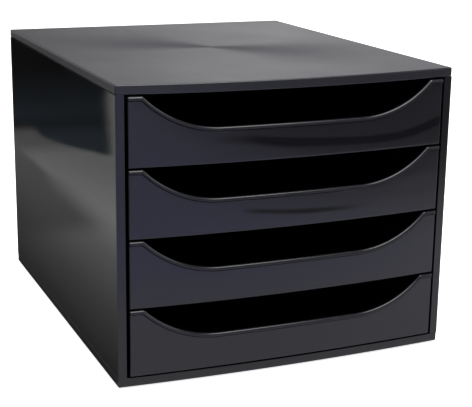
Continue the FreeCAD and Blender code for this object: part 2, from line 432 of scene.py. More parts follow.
@dataclass(frozen=True)
class GateMark:
    """The mark round the point where a moulding was filled: rings and two dull wedges."""

    centre: Triple
    axis: Triple
    reach: float = 0.11
    pitch: float = 0.0024
    depth: float = 0.00002
    wedge_root: float = 0.008
    wedge_spread: float = 1.35
    wedge_dulling: float = 0.21
    wedge_reach: float = 0.18

    def _away(self, bench: NodeBench, place: Signal) -> tuple[Signal, Signal]:
        """The vector and the distance from the gate."""
        away = bench.vector("SUBTRACT", place, self.centre)
        return away, bench.vector("LENGTH", away, output="Value")

    def rings(self, bench: NodeBench, place: Signal) -> Signal:
        """The relief of the rings.

        Args:
            bench: the material's bench.
            place: the place on the object.

        Returns:
            Their height, as a share of their depth.
        """
        _, reach = self._away(bench, place)
        fade = 1.0 - bench.ramp(reach, 0.0, self.reach)
        return bench.math("SINE", reach * (2 * math.pi / self.pitch)) * fade

    def flow(self, bench: NodeBench, place: Signal) -> Signal:
        """The dulling of the two wedges, which spread from the gate along the axis.

        Args:
            bench: the material's bench.
            place: the place on the object.

        Returns:
            What they add to the roughness.
        """
        away, reach = self._away(bench, place)
        across = (self.axis[1], -self.axis[0], 0.0)
        along, off = (
            bench.math("ABSOLUTE", bench.vector("DOT_PRODUCT", away, way, output="Value"))
            for way in (self.axis, across)
        )
        wedge = 1.0 - bench.ramp(off, 0.0, along * self.wedge_spread + self.wedge_root)
        fade = 1.0 - bench.ramp(reach, 0.0, self.wedge_reach)
        return wedge * wedge * fade * self.wedge_dulling


@dataclass(frozen=True)
class MouldedPlastic:
    """Black plastic as it leaves its mould, with cloudy gloss, fine grain and polished edges.

    A noise is given by its scale and its detail, a band by the values where it starts and ends,
    a spread by what it adds to the roughness, and a wear by what it adds of the worn colour.
    """

    name: str
    colour: Triple
    worn_colour: Triple
    roughness: float
    cloud_noise: Span = (14.0, 3.0)
    cloud_spread: float = 0.05
    cloud_wear: float = 0.35
    peel_stretch: Triple = (1.0, 1.0, 1.0)
    peel_noise: Span = (55.0, 1.0)
    peel_depth: float = 0.00004
    grain_noise: Span = (2600.0, 2.0)
    grain_depth: float = 0.000004
    scuff_stretch: Triple = (260.0, 9.0, 260.0)
    scuff_noise: Span = (1.0, 4.0)
    scuff_band: Span = (0.60, 0.78)
    scuff_spread: float = 0.06
    scuff_wear: float = 0.4
    patch_noise: Span = (9.0, 2.0)
    patch_band: Span = (0.45, 0.65)
    edge_spread: float = 0.06
    edge_wear: float = 0.5
    gate: GateMark | None = None

    def make(self) -> bpy.types.Material:
        """Makes the material of this finish.

        Returns:
            The material.
        """
        material, bench = start_material(self.name)
        place = bench.place()
        cloud = bench.noise(place, *self.cloud_noise)
        scuff = self._scuffs(bench, place)
        edge = bench.out("ShaderNodeAttribute", {"attribute_name": EDGE_ATTRIBUTE}, output="Fac")
        wear = cloud * self.cloud_wear + edge * self.edge_wear + scuff * self.scuff_wear
        colour = bench.blend(bench.math("MINIMUM", wear, 1.0), self.colour, self.worn_colour)
        roughness = (
            self.roughness
            + (cloud - 0.5) * (2 * self.cloud_spread)
            + scuff * self.scuff_spread
            + edge * self.edge_spread
        )
        if self.gate is not None:
            roughness = roughness + self.gate.flow(bench, place)
        bench.surface(colour, roughness, self._relief(bench, place))
        return material

    def _scuffs(self, bench: NodeBench, place: Signal) -> Signal:
        """Faint rubbed streaks that run from front to back.

        Args:
            bench: the material's bench.
            place: the place on the object.

        Returns:
            1 in a streak and 0 beside it.
        """
        drawn = bench.vector("MULTIPLY", place, self.scuff_stretch)
        streaks = bench.ramp(bench.noise(drawn, *self.scuff_noise), *self.scuff_band)
        patches = bench.ramp(bench.noise(place, *self.patch_noise), *self.patch_band)
        return streaks * patches

    def _relief(self, bench: NodeBench, place: Signal) -> Signal:
        """The moulding's slow waves, the rings round its gate and its grain.

        Args:
            bench: the material's bench.
            place: the place on the object.

        Returns:
            The normal.
        """
        stretched = bench.vector("MULTIPLY", place, self.peel_stretch)
        normal = bench.bump(bench.noise(stretched, *self.peel_noise), self.peel_depth)
        if self.gate is not None:
            normal = bench.bump(self.gate.rings(bench, place), self.gate.depth, Normal=normal)
        grain = bench.noise(place, *self.grain_noise)
        return bench.bump(grain, self.grain_depth, Normal=normal)


@dataclass(frozen=True)
class FootRubber:
    """Matt grey-black rubber with a dusty bloom."""

    name: str = "foot_rubber"
    colour: Triple = (0.022, 0.022, 0.024)
    dust: Triple = (0.075, 0.073, 0.070)
    bloom_noise: Span = (240.0, 4.0)
    bloom_band: Span = (0.42, 0.75)
    roughness: float = 0.72
    roughness_spread: float = 0.2
    speckle_noise: Span = (1900.0, 2.0)
    speckle_depth: float = 0.00006

    def make(self) -> bpy.types.Material:
        """Makes the material of this finish.

        Returns:
            The material.
        """
        material, bench = start_material(self.name)
        place = bench.place()
        bloom = bench.noise(place, *self.bloom_noise)
        speckle = bench.noise(place, *self.speckle_noise)
        colour = bench.blend(bench.ramp(bloom, *self.bloom_band), self.colour, self.dust)
        roughness = self.roughness + (bloom - 0.5) * self.roughness_spread
        bench.surface(colour, roughness, bench.bump(speckle, self.speckle_depth))
        return material


LID_FINISH = MouldedPlastic(
    name="lid_plastic",
    colour=(0.0112, 0.0115, 0.0160),
    worn_colour=(0.0140, 0.0143, 0.0190),
    roughness=0.30,
    edge_spread=-0.08,
    gate=GateMark((0.001, 0.006, 0.237), (0.836, -0.549, 0.0)),
)
SIDE_FINISH = MouldedPlastic(
    name="side_plastic",
    colour=(0.003, 0.003, 0.0033),
    worn_colour=(0.009, 0.009, 0.0095),
    roughness=0.012,
    cloud_spread=0.006,
    peel_depth=0.000006,
    scuff_spread=0.03,
)
TRAY_FINISH = MouldedPlastic(
    name="tray_plastic",
    colour=(0.0045, 0.0045, 0.006),
    worn_colour=(0.011, 0.011, 0.015),
    roughness=0.11,
    cloud_spread=0.02,
    peel_stretch=(0.18, 1.0, 1.0),
    peel_depth=0.0002,
)


# ---- meshes in the making ----

X_AXIS, Z_AXIS = 0, 2
SHARP_ANGLE = math.radians(40)


class Workpiece:
    """A mesh in the making."""

    def __init__(self) -> None:
        """Starts empty."""
        self.mesh = bmesh.new()

    def row(self, points: Iterable[Sequence[float]]) -> list[bmesh.types.BMVert]:
        """Adds a vertex at each point."""
        return [self.mesh.verts.new(point) for point in points]

    def bridge(
        self,
        lower: Sequence[bmesh.types.BMVert],
        upper: Sequence[bmesh.types.BMVert],
        closed: bool = False,
    ) -> None:
        """Adds the quads between two rows of vertices.

        Args:
            lower, upper: the rows.
            closed: whether they run round, from their ends to their starts.
        """
        for i in range(len(lower) - (0 if closed else 1)):
            j = (i + 1) % len(lower)
            self.mesh.faces.new((lower[i], lower[j], upper[j], upper[i]))

    def block(self, x: Span, y: Span, z: Span, ease: float = 0.0) -> None:
        """Adds a closed block.

        Args:
            x, y, z: its lowest and highest coordinate on each axis.
            ease: the radius of its edges.
        """
        centre = Vector((sum(x) / 2, sum(y) / 2, sum(z) / 2))
        size = Vector((x[1] - x[0], y[1] - y[0], z[1] - z[0]))
        matrix = Matrix.Translation(centre) @ Matrix.Diagonal((*size, 1.0))
        verts = bmesh.ops.create_cube(self.mesh, size=1.0, matrix=matrix)["verts"]
        if ease:
            bmesh.ops.bevel(
                self.mesh,
                geom=list({edge for vert in verts for edge in vert.link_edges}),
                offset=ease,
                offset_type="OFFSET",
                segments=2,
                profile=0.5,
                affect="EDGES",
            )

    def prism(self, outline: Sequence[Span], y: Span) -> None:
        """Adds a closed prism along y.

        Args:
            outline: its (x, z) points.
            y: its two ends.
        """
        self.skin([[Vector((px, end, pz)) for end in y] for px, pz in outline])

    def skin(self, rows: Sequence[Sequence[Vector]]) -> None:
        """Adds a closed tube of quads, and closes both of its ends.

        Args:
            rows: its points row by row; the last row joins on to the first one.
        """
        verts = [self.row(row) for row in rows]
        for lower, upper in zip(verts, verts[1:] + verts[:1]):
            self.bridge(lower, upper)
        self.mesh.faces.new([row[0] for row in verts])
        self.mesh.faces.new([row[-1] for row in reversed(verts)])

    def lathe(self, profile: Sequence[Span], centre: Vector, count: int) -> None:
        """Adds a closed turned shape about an upright axis.

        Args:
            profile: its (radius, height) points.
            centre: where the axis has the height 0.
            count: the number of its sides.
        """
        turns = [2 * math.pi * i / count for i in range(count)]
        rings = [
            self.row(centre + Vector((r * math.cos(a), r * math.sin(a), height)) for a in turns)
            for r, height in profile
        ]
        for lower, upper in zip(rings, rings[1:]):
            self.bridge(lower, upper, closed=True)
        self.mesh.faces.new(list(reversed(rings[0])))
        self.mesh.faces.new(rings[-1])

    def take(self, mesh: bpy.types.Mesh) -> None:
        """Adds a mesh and removes it from the file."""
        self.mesh.from_mesh(mesh)
        bpy.data.meshes.remove(mesh)

    def flip(self, axis: int, about: float) -> None:
        """Mirrors everything so far.

        Args:
            axis: the axis to mirror along.
            about: the plane's place on it.
        """
        for vert in self.mesh.verts:
            vert.co[axis] = 2 * about - vert.co[axis]
        bmesh.ops.reverse_faces(self.mesh, faces=self.mesh.faces)

    def shift(self, offset: Vector) -> None:
        """Moves everything so far."""
        for vert in self.mesh.verts:
            vert.co += offset

    def form(self, name: str, material: bpy.types.Material) -> bpy.types.Object:
        """Ends this workpiece, with its faces outwards.

        Args:
            name: the object's name.
            material: its one material.

        Returns:
            The object.
        """
        bmesh.ops.recalc_face_normals(self.mesh, faces=self.mesh.faces)
        mesh = bpy.data.meshes.new(name)
        self.mesh.to_mesh(mesh)
        self.mesh.free()
        mesh.materials.clear()
        mesh.materials.append(material)
        return new_object(name, mesh)


def hollow(mesh: bpy.types.Mesh, wall: float) -> bpy.types.Mesh:
    """Gives an open shell its wall, inwards.

    Args:
        mesh: the shell, which is used up.
        wall: the wall's thickness.

    Returns:
        The closed shell.
    """
    obj = new_object(mesh.name, mesh)
    modify(obj, "SOLIDIFY", thickness=wall, offset=-1.0, use_even_offset=True)
    return release(obj)


def round_edges(
    mesh: bpy.types.Mesh, radius: float, segments: int, share: Callable[[Vector], float]
) -> bpy.types.Mesh:
    """Rounds the sharp edges of a mesh.

    Args:
        mesh: the mesh, which is used up.
        radius: the full radius.
        segments: faces across a rounded edge.
        share: the part of the radius that an edge gets, from its middle.

    Returns:
        The rounded mesh.
    """
    work = bmesh.new()
    work.from_mesh(mesh)
    layer = work.edges.layers.float.new("bevel_weight_edge")
    for edge in work.edges:
        if edge.is_manifold and edge.calc_face_angle() > SHARP_ANGLE:
            edge[layer] = share((edge.verts[0].co + edge.verts[1].co) / 2)
    work.to_mesh(mesh)
    work.free()
    obj = new_object(mesh.name, mesh)
    modify(obj, "BEVEL", limit_method="WEIGHT", width=radius, segments=segments)
    return release(obj)


def mark_edges(
    mesh: bpy.types.Mesh, narrow: float = 0.0011, bend: float = math.radians(9)
) -> None:
    """Marks the narrow faces of rounded edges, for the finish to wear them.

    Args:
        mesh: the finished mesh.
        narrow: the widest that such a face is.
        bend: the least angle that it makes with the faces on its two sides.
    """
    work = bmesh.new()
    work.from_mesh(mesh)
    layer = work.faces.layers.float.new(EDGE_ATTRIBUTE)
    for face in work.faces:
        bent = [edge for edge in face.edges if edge.is_manifold and edge.calc_face_angle() > bend]
        width = face.calc_area() / max(edge.calc_length() for edge in face.edges)
        face[layer] = 1.0 if len(bent) >= 2 and width < narrow else 0.0
    work.to_mesh(mesh)
    work.free()


def hand_over(obj: bpy.types.Object, body: str, slot: Slot, node: str) -> None:
    """Smooths a finished piece, gives it to its body and reports it.

    Args:
        obj: the piece.
        body: the body that it rides on.
        slot: the record's slot of its finish; not used.
        node: the solid that it stands for.
    """
    mark_edges(obj.data)
    for polygon in obj.data.polygons:
        polygon.use_smooth = True
    obj.data.set_sharp_from_angle(angle=SHARP_ANGLE)
    modify(obj, "WEIGHTED_NORMAL", keep_sharp=True, weight=100)
    settle(obj)
    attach(obj, body)
    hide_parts(node)
    log.info("%s: %d faces, on %s", obj.name, len(obj.data.polygons), body)


# ---- sizes that the sub-assemblies share ----


def even(low: float, high: float, steps: int) -> list[float]:
    """Even steps from low to high, both included."""
    return [low + (high - low) * i / steps for i in range(steps + 1)]


def spread(count: int, low: float, high: float) -> list[float]:
    """Places that share out a stretch evenly, with a full step left free at each end."""
    return even(low, high, count + 1)[1:-1]


def quarter(steps: int) -> list[Span]:
    """How far a quarter turn of radius 1 stands back from its end's and its start's tangent."""
    return [(1 - math.sin(a), 1 - math.cos(a)) for a in even(0.0, math.pi / 2, steps)]


@dataclass(frozen=True)
class CabinetSizes:
    """Driving sizes of the cabinet."""

    width: float = 0.284
    depth: float = 0.348
    height: float = 0.2355
    bow: float = 0.005
    wall: float = 0.0022
    cap_height: float = 0.0072
    frame_width: float = 0.0068
    joint_gap: float = 0.0001
    rib: float = 0.0014
    back_clearance: float = 0.0002
    tongue: float = 0.0018
    tongue_length: float = 0.032
    tongue_clearance: float = 0.00015
    tongue_count: int = 4
    side_gap: float = 0.0025
    tray_proud: float = 0.001
    bead_proud: float = 0.001
    foot_proud: float = 0.0015
    foot_radius: float = 0.008
    tray_count: int = 4
    tray_gap: float = 0.0015
    tray_wall: float = 0.046
    flange: float = 0.002
    bump: float = 0.002
    bump_setback: float = 0.008
    bump_length: float = 0.006
    close_gap: float = 0.0003
    travel: float = 0.255
    stop_gap: float = 0.0003

    @property
    def half(self) -> float:
        """Half the width."""
        return self.width / 2

    @property
    def back_y(self) -> float:
        """The back face."""
        return (self.depth + self.tray_proud + self.bead_proud) / 2

    @property
    def front_y(self) -> float:
        """The foremost point of the case."""
        return self.back_y - self.depth

    @property
    def corner_y(self) -> float:
        """The front corners of the case."""
        return self.front_y + self.bow

    @property
    def bow_radius(self) -> float:
        """The radius of the bowed front, seen from above."""
        return (self.half**2 + self.bow**2) / (2 * self.bow)

    @property
    def base_z(self) -> float:
        """The underside of the base."""
        return self.foot_proud

    @property
    def top_z(self) -> float:
        """The top of the lid."""
        return self.base_z + self.height

    @property
    def middle_z(self) -> float:
        """The middle height of the case."""
        return (self.base_z + self.top_z) / 2

    @property
    def opening_low(self) -> float:
        """The base's upper rim."""
        return self.base_z + self.cap_height

    @property
    def opening_high(self) -> float:
        """The lid's lower rim."""
        return self.top_z - self.cap_height

    @property
    def inner_half(self) -> float:
        """Half the width between the side panels' walls."""
        return self.half - self.wall

    @property
    def slot_rib_y(self) -> float:
        """The back of the rib that the back panel rests against."""
        return self.back_y - 2 * (self.wall + self.back_clearance)

    @property
    def tongue_places(self) -> list[float]:
        """The middle of each snap tongue along a side panel."""
        return spread(self.tongue_count, self.corner_y, self.slot_rib_y)

    @property
    def tray_back_y(self) -> float:
        """The back face of a closed tray."""
        return self.slot_rib_y - self.rib - self.close_gap

    @property
    def bump_y(self) -> float:
        """The front of the stop bump of a closed tray."""
        return self.tray_back_y - self.bump_setback - self.bump_length

    @property
    def catch_y(self) -> float:
        """The back of the catch that the stop bump meets."""
        return self.bump_y - self.travel - self.stop_gap

    @property
    def front_half(self) -> float:
        """Half the width of a tray front."""
        return self.half - self.frame_width - self.side_gap

    @property
    def front_height(self) -> float:
        """The height of a tray front."""
        gaps = (self.tray_count + 1) * self.tray_gap
        return (self.opening_high - self.opening_low - gaps) / self.tray_count

    @property
    def pitch(self) -> float:
        """The step from one tray to the next."""
        return self.front_height + self.tray_gap

    def bowed_y(self, x: float, ahead: float) -> float:
        """Y on the bowed front at x, or on the like surface that lies ahead of it."""
        centre = self.front_y + self.bow_radius
        return centre - math.sqrt((self.bow_radius + ahead) ** 2 - x**2)

    def tray_z(self, number: int) -> float:
        """The underside of a tray, counted from 1 at the top."""
        return self.opening_high - self.tray_gap - self.front_height - (number - 1) * self.pitch


SIZES = CabinetSizes()


# ---- geometry recipes ----

RIPPLE_DETAIL = 1.0


def shell_recipe() -> Recipe:
    """Makes the tree of an open moulded shell: a box with one side missing, bowed at its front.

    Returns:
        The recipe. Its shell sags in the middle of its front edge, and the outer side that
        faces +X ripples a little, as a thin moulded wall does.
    """
    recipe = Recipe(
        "moulded_shell",
        {
            "Vector": ["Low", "High", "Open Side"],
            "Int": ["Columns", "Rows", "Levels"],
            "Float": ["Half Width", "Bow Radius", "Sag", "Ripple", "Ripple Scale"],
        },
    )
    low, high = recipe.value("Low"), recipe.value("High")
    size = recipe.vector("SUBTRACT", high, low)
    centre = recipe.vector("MULTIPLY", recipe.vector("ADD", high, low), (0.5, 0.5, 0.5))
    counts = zip("XYZ", ("Columns", "Rows", "Levels"))
    feeds = {"Size": size, **{f"Vertices {axis}": recipe.value(label) for axis, label in counts}}
    box = recipe.out("GeometryNodeMeshCube", None, feeds, "Mesh")
    position = recipe.out("GeometryNodeInputPosition")
    share_x, share_y, share_z = recipe.axes(recipe.vector("DIVIDE", position, size))
    placed = recipe.vector("ADD", position, centre)
    x, _, _ = recipe.axes(placed)
    half, radius = recipe.value("Half Width"), recipe.value("Bow Radius")
    front = 0.5 - share_y
    rise, chord = (recipe.math("SQRT", radius * radius - at * at) for at in (x, half))
    across = x / half
    sag = recipe.value("Sag") * front * (1.0 - across * across)
    middle = (1.0 - 4.0 * share_y * share_y) * (1.0 - 4.0 * share_z * share_z)
    waves = recipe.noise(placed, recipe.value("Ripple Scale"), RIPPLE_DETAIL)
    outward = recipe.value("Ripple") * (waves - 0.5) * middle * (share_x + 0.5)
    offset = recipe.join(outward, 0.0 - front * (rise - chord), 0.0 - sag)
    feeds = {"Geometry": box, "Position": recipe.vector("ADD", placed, offset)}
    shaped = recipe.out("GeometryNodeSetPosition", None, feeds)
    normal, way = recipe.out("GeometryNodeInputNormal"), recipe.value("Open Side")
    facing = recipe.vector("DOT_PRODUCT", normal, way, output="Value")
    feeds = {"Geometry": shaped, "Selection": facing > 0.5}
    recipe.close(recipe.out("GeometryNodeDeleteGeometry", {"domain": "FACE"}, feeds))
    return recipe


def rib_recipe() -> Recipe:
    """Makes the tree of a row of ribs under a bowed plate, each as long as the plate allows.

    Returns:
        The recipe. The ribs stand side by side along x and run along y, from the bowed front
        wall to the back rib.
    """
    floats = ["First X", "Step", "Thickness", "Front Y", "Back Y", "Bow Radius", "Low Z", "High Z"]
    recipe = Recipe("plate_ribs", {"Int": ["Count"], "Float": floats})
    feeds = {
        "Count": recipe.value("Count"),
        "Start Location": recipe.join(recipe.value("First X"), 0.0, 0.0),
        "Offset": recipe.join(recipe.value("Step"), 0.0, 0.0),
    }
    row = recipe.out("GeometryNodeMeshLine", None, feeds)
    x, _, _ = recipe.axes(recipe.out("GeometryNodeInputPosition"))
    radius = recipe.value("Bow Radius")
    front = recipe.value("Front Y") + radius - recipe.math("SQRT", radius * radius - x * x)
    back, low, high = (recipe.value(label) for label in ("Back Y", "Low Z", "High Z"))
    cube = recipe.out("GeometryNodeMeshCube", None, {"Size": (1.0, 1.0, 1.0)}, "Mesh")
    middle = recipe.join(x, (front + back) * 0.5, (low + high) * 0.5)
    moved = recipe.out("GeometryNodeSetPosition", None, {"Geometry": row, "Position": middle})
    _, middle_y, _ = recipe.axes(recipe.out("GeometryNodeInputPosition"))
    scale = recipe.join(recipe.value("Thickness"), (back - middle_y) * 2.0, high - low)
    feeds = {"Points": moved, "Instance": cube, "Scale": scale}
    recipe.close(recipe.out("GeometryNodeInstanceOnPoints", None, feeds))
    return recipe


def copies_recipe() -> Recipe:
    """Makes the tree that repeats one piece in a straight row.

    Returns:
        The recipe.
    """
    inputs = {"Object": ["Piece"], "Int": ["Count"], "Vector": ["Step"]}
    recipe = Recipe("row_of_copies", inputs)
    feeds = {"Count": recipe.value("Count"), "Offset": recipe.value("Step")}
    row = recipe.out("GeometryNodeMeshLine", None, feeds)
    feeds = {"Object": recipe.value("Piece")}
    piece = recipe.out("GeometryNodeObjectInfo", None, feeds, "Geometry")
    feeds = {"Points": row, "Instance": piece}
    recipe.close(recipe.out("GeometryNodeInstanceOnPoints", None, feeds))
    return recipe


@dataclass
class Workshop:
    """What every sub-assembly uses: the recipes and the materials."""

    shell: Recipe = field(default_factory=shell_recipe)
    ribs: Recipe = field(default_factory=rib_recipe)
    copies: Recipe = field(default_factory=copies_recipe)
    lid: bpy.types.Material = field(default_factory=LID_FINISH.make)
    side: bpy.types.Material = field(default_factory=SIDE_FINISH.make)
    tray: bpy.types.Material = field(default_factory=TRAY_FINISH.make)
    foot: bpy.types.Material = field(default_factory=FootRubber().make)

    def mould(
        self, grid: tuple[int, int, int], material: bpy.types.Material, **values: Any
    ) -> bpy.types.Mesh:
        """Moulds a hollow shell.

        Args:
            grid: the vertices along each axis.
            material: its material.
            **values: the recipe's other inputs, by their names with underscores.

        Returns:
            Its mesh.
        """
        inputs = {name.replace("_", " ").title(): value for name, value in values.items()}
        inputs |= {"Half Width": SIZES.half, "Bow Radius": SIZES.bow_radius, "Material": material}
        inputs |= zip(("Columns", "Rows", "Levels"), grid)
        return hollow(self.shell.cast(inputs), SIZES.wall)

    def repeat(
        self, piece: Workpiece, count: int, step: Vector, material: bpy.types.Material
    ) -> bpy.types.Mesh:
        """Makes a row of copies.

        Args:
            piece: the one to copy, which is used up.
            count: the number of copies.
            step: the way from one copy to the next.
            material: their material.

        Returns:
            The mesh of the row.
        """
        sample = piece.form("sample", material)
        inputs = {"Piece": sample, "Count": count, "Step": step, "Material": material}
        mesh = self.copies.cast(inputs)
        drop(sample)
        return mesh


# ---- case ----


@dataclass
class Cap:
    """The lid, or the same moulding turned over as the base."""

    shop: Workshop
    is_base: bool
    sag: float = 0.0
    columns: int = 57
    stiffener_height: float = 0.0032
    stiffeners_along: int = 4
    stiffeners_across: int = 5
    window_low: float = 0.0024
    window_clearance: float = 0.0003
    edge_radius: float = 0.0012
    edge_segments: int = 4
    joint_share: float = 0.4
    root: float = 0.0002
    foot_seat: float = 0.001
    foot_clearance: float = 0.0002
    foot_boss: float = 0.0025
    seat_sides: int = 64
    boss_sides: int = 48

    @property
    def plastic(self) -> bpy.types.Material:
        """The lid's dull plastic, or the glossy one of the base."""
        return self.shop.side if self.is_base else self.shop.lid

    @property
    def socket_half(self) -> float:
        """The outer face of a socket rib."""
        return SIZES.inner_half - SIZES.tongue - 2 * SIZES.tongue_clearance

    def share(self, middle: Vector) -> float:
        """The part of the edge radius that an edge of the plate gets.

        Args:
            middle: the edge's middle.

        Returns:
            1 on the outer edges, and less on the rim and inside.
        """
        near = SIZES.wall / 2
        upper = middle.z > SIZES.top_z - 2 * self.sag - near
        ahead, behind = SIZES.bowed_y(middle.x, 0) + near, SIZES.back_y - near
        inside = abs(middle.x) < SIZES.half - near and ahead < middle.y < behind
        rim = middle.z < SIZES.opening_high - self.sag + near
        return 1.0 if upper or not (inside or rim) else self.joint_share

    def plate(self) -> bpy.types.Mesh:
        """Makes the plate and its rim.

        Returns:
            Their mesh, with its edges rounded.
        """
        shell = self.shop.mould(
            (self.columns, self.columns if self.sag else 2, 2),
            self.plastic,
            low=(-SIZES.half, SIZES.corner_y, SIZES.opening_high),
            high=(SIZES.half, SIZES.back_y, SIZES.top_z),
            open_side=(0.0, 0.0, -1.0),
            sag=self.sag,
        )
        return round_edges(shell, self.edge_radius, self.edge_segments, self.share)

    def ribs(self, work: Workpiece) -> None:
        """Adds the stiffeners, the socket ribs and the back rib.

        Args:
            work: the moulding so far.
        """
        under = SIZES.top_z - SIZES.wall
        height = (under - self.stiffener_height, under + self.root - self.sag)
        inside = self.socket_half - SIZES.rib
        back = SIZES.slot_rib_y - SIZES.rib
        along = spread(self.stiffeners_along, -inside, inside)
        inputs = {
            "Count": self.stiffeners_along,
            "First X": along[0],
            "Step": along[1] - along[0],
            "Thickness": SIZES.rib,
            "Front Y": SIZES.front_y + SIZES.wall - self.root,
            "Back Y": back + self.root,
            "Bow Radius": SIZES.bow_radius,
            "Low Z": height[0],
            "High Z": height[1],
            "Material": self.plastic,
        }
        work.take(self.shop.ribs.cast(inputs))
        across = spread(self.stiffeners_across, SIZES.corner_y + SIZES.wall, SIZES.slot_rib_y)
        bar = Workpiece()
        bar_y = (across[0] - SIZES.rib / 2, across[0] + SIZES.rib / 2)
        bar.block((-inside - self.root, inside + self.root), bar_y, height)
        step = Vector((0.0, across[1] - across[0], 0.0))
        work.take(self.shop.repeat(bar, self.stiffeners_across, step, self.plastic))
        full = (SIZES.opening_high, under + self.root)
        work.block((-inside, inside), (back, SIZES.slot_rib_y), full)
        for hand in Hand:
            self.socket_rib(work, hand)

    def socket_rib(self, work: Workpiece, hand: Hand) -> None:
        """Adds one socket rib: a strip below the barb windows, and posts between them.

        Args:
            work: the moulding so far.
            hand: the side of the rib.
        """
        outer = hand.value * self.socket_half
        x = tuple(sorted((outer, outer - hand.value * SIZES.rib)))
        front = SIZES.corner_y + SIZES.wall
        sill = SIZES.opening_high + self.window_low
        top = SIZES.top_z - SIZES.wall + self.root
        work.block(x, (front, SIZES.slot_rib_y), (SIZES.opening_high, sill))
        half = SIZES.tongue_length / 2 + self.window_clearance
        starts = [front] + [place + half for place in SIZES.tongue_places]
        ends = [place - half for place in SIZES.tongue_places] + [SIZES.slot_rib_y]
        for start, end in zip(starts, ends):
            work.block(x, (start, end), (sill - self.root, top))

    def seat_feet(self, obj: bpy.types.Object) -> bpy.types.Object:
        """Gives the base a boss and a recess for each foot.

        Args:
            obj: the base, which is used up.

        Returns:
            The base with its seats.
        """
        centres = [Vector((x, y, SIZES.base_z)) for x, y in FootSet.centres().values()]
        radius = SIZES.foot_radius + self.foot_clearance
        inner, top = radius + self.foot_boss, SIZES.wall + self.foot_seat
        boss = [(inner, SIZES.wall / 2), (inner, top - self.root), (inner - self.root, top)]
        bosses, seats = Workpiece(), Workpiece()
        for centre in centres:
            bosses.lathe(boss, centre, self.boss_sides)
            seat = [(radius, -self.foot_seat), (radius, self.foot_seat)]
            seats.lathe(seat, centre, self.seat_sides)
        bosses.take(obj.data.copy())
        drop(obj)
        obj = bosses.form("base_moulding", self.plastic)
        cutter = seats.form("seat_cutter", self.plastic)
        modify(obj, "BOOLEAN", operation="DIFFERENCE", solver="EXACT", object=cutter)
        settle(obj)
        drop(cutter)
        return obj

    def build(self) -> bpy.types.Object:
        """Builds the moulding.

        Returns:
            The finished lid or base.
        """
        work = Workpiece()
        work.take(self.plate())
        self.ribs(work)
        if not self.is_base:
            return work.form("lid_moulding", self.plastic)
        work.flip(Z_AXIS, SIZES.middle_z)
        return self.seat_feet(work.form("base_moulding", self.plastic))

    def dress(self, obj: bpy.types.Object) -> None:
        """Hands the moulding over to the case."""
        hand_over(obj, "case", Slot.CASE, "bottom_panel" if self.is_base else "top_panel")


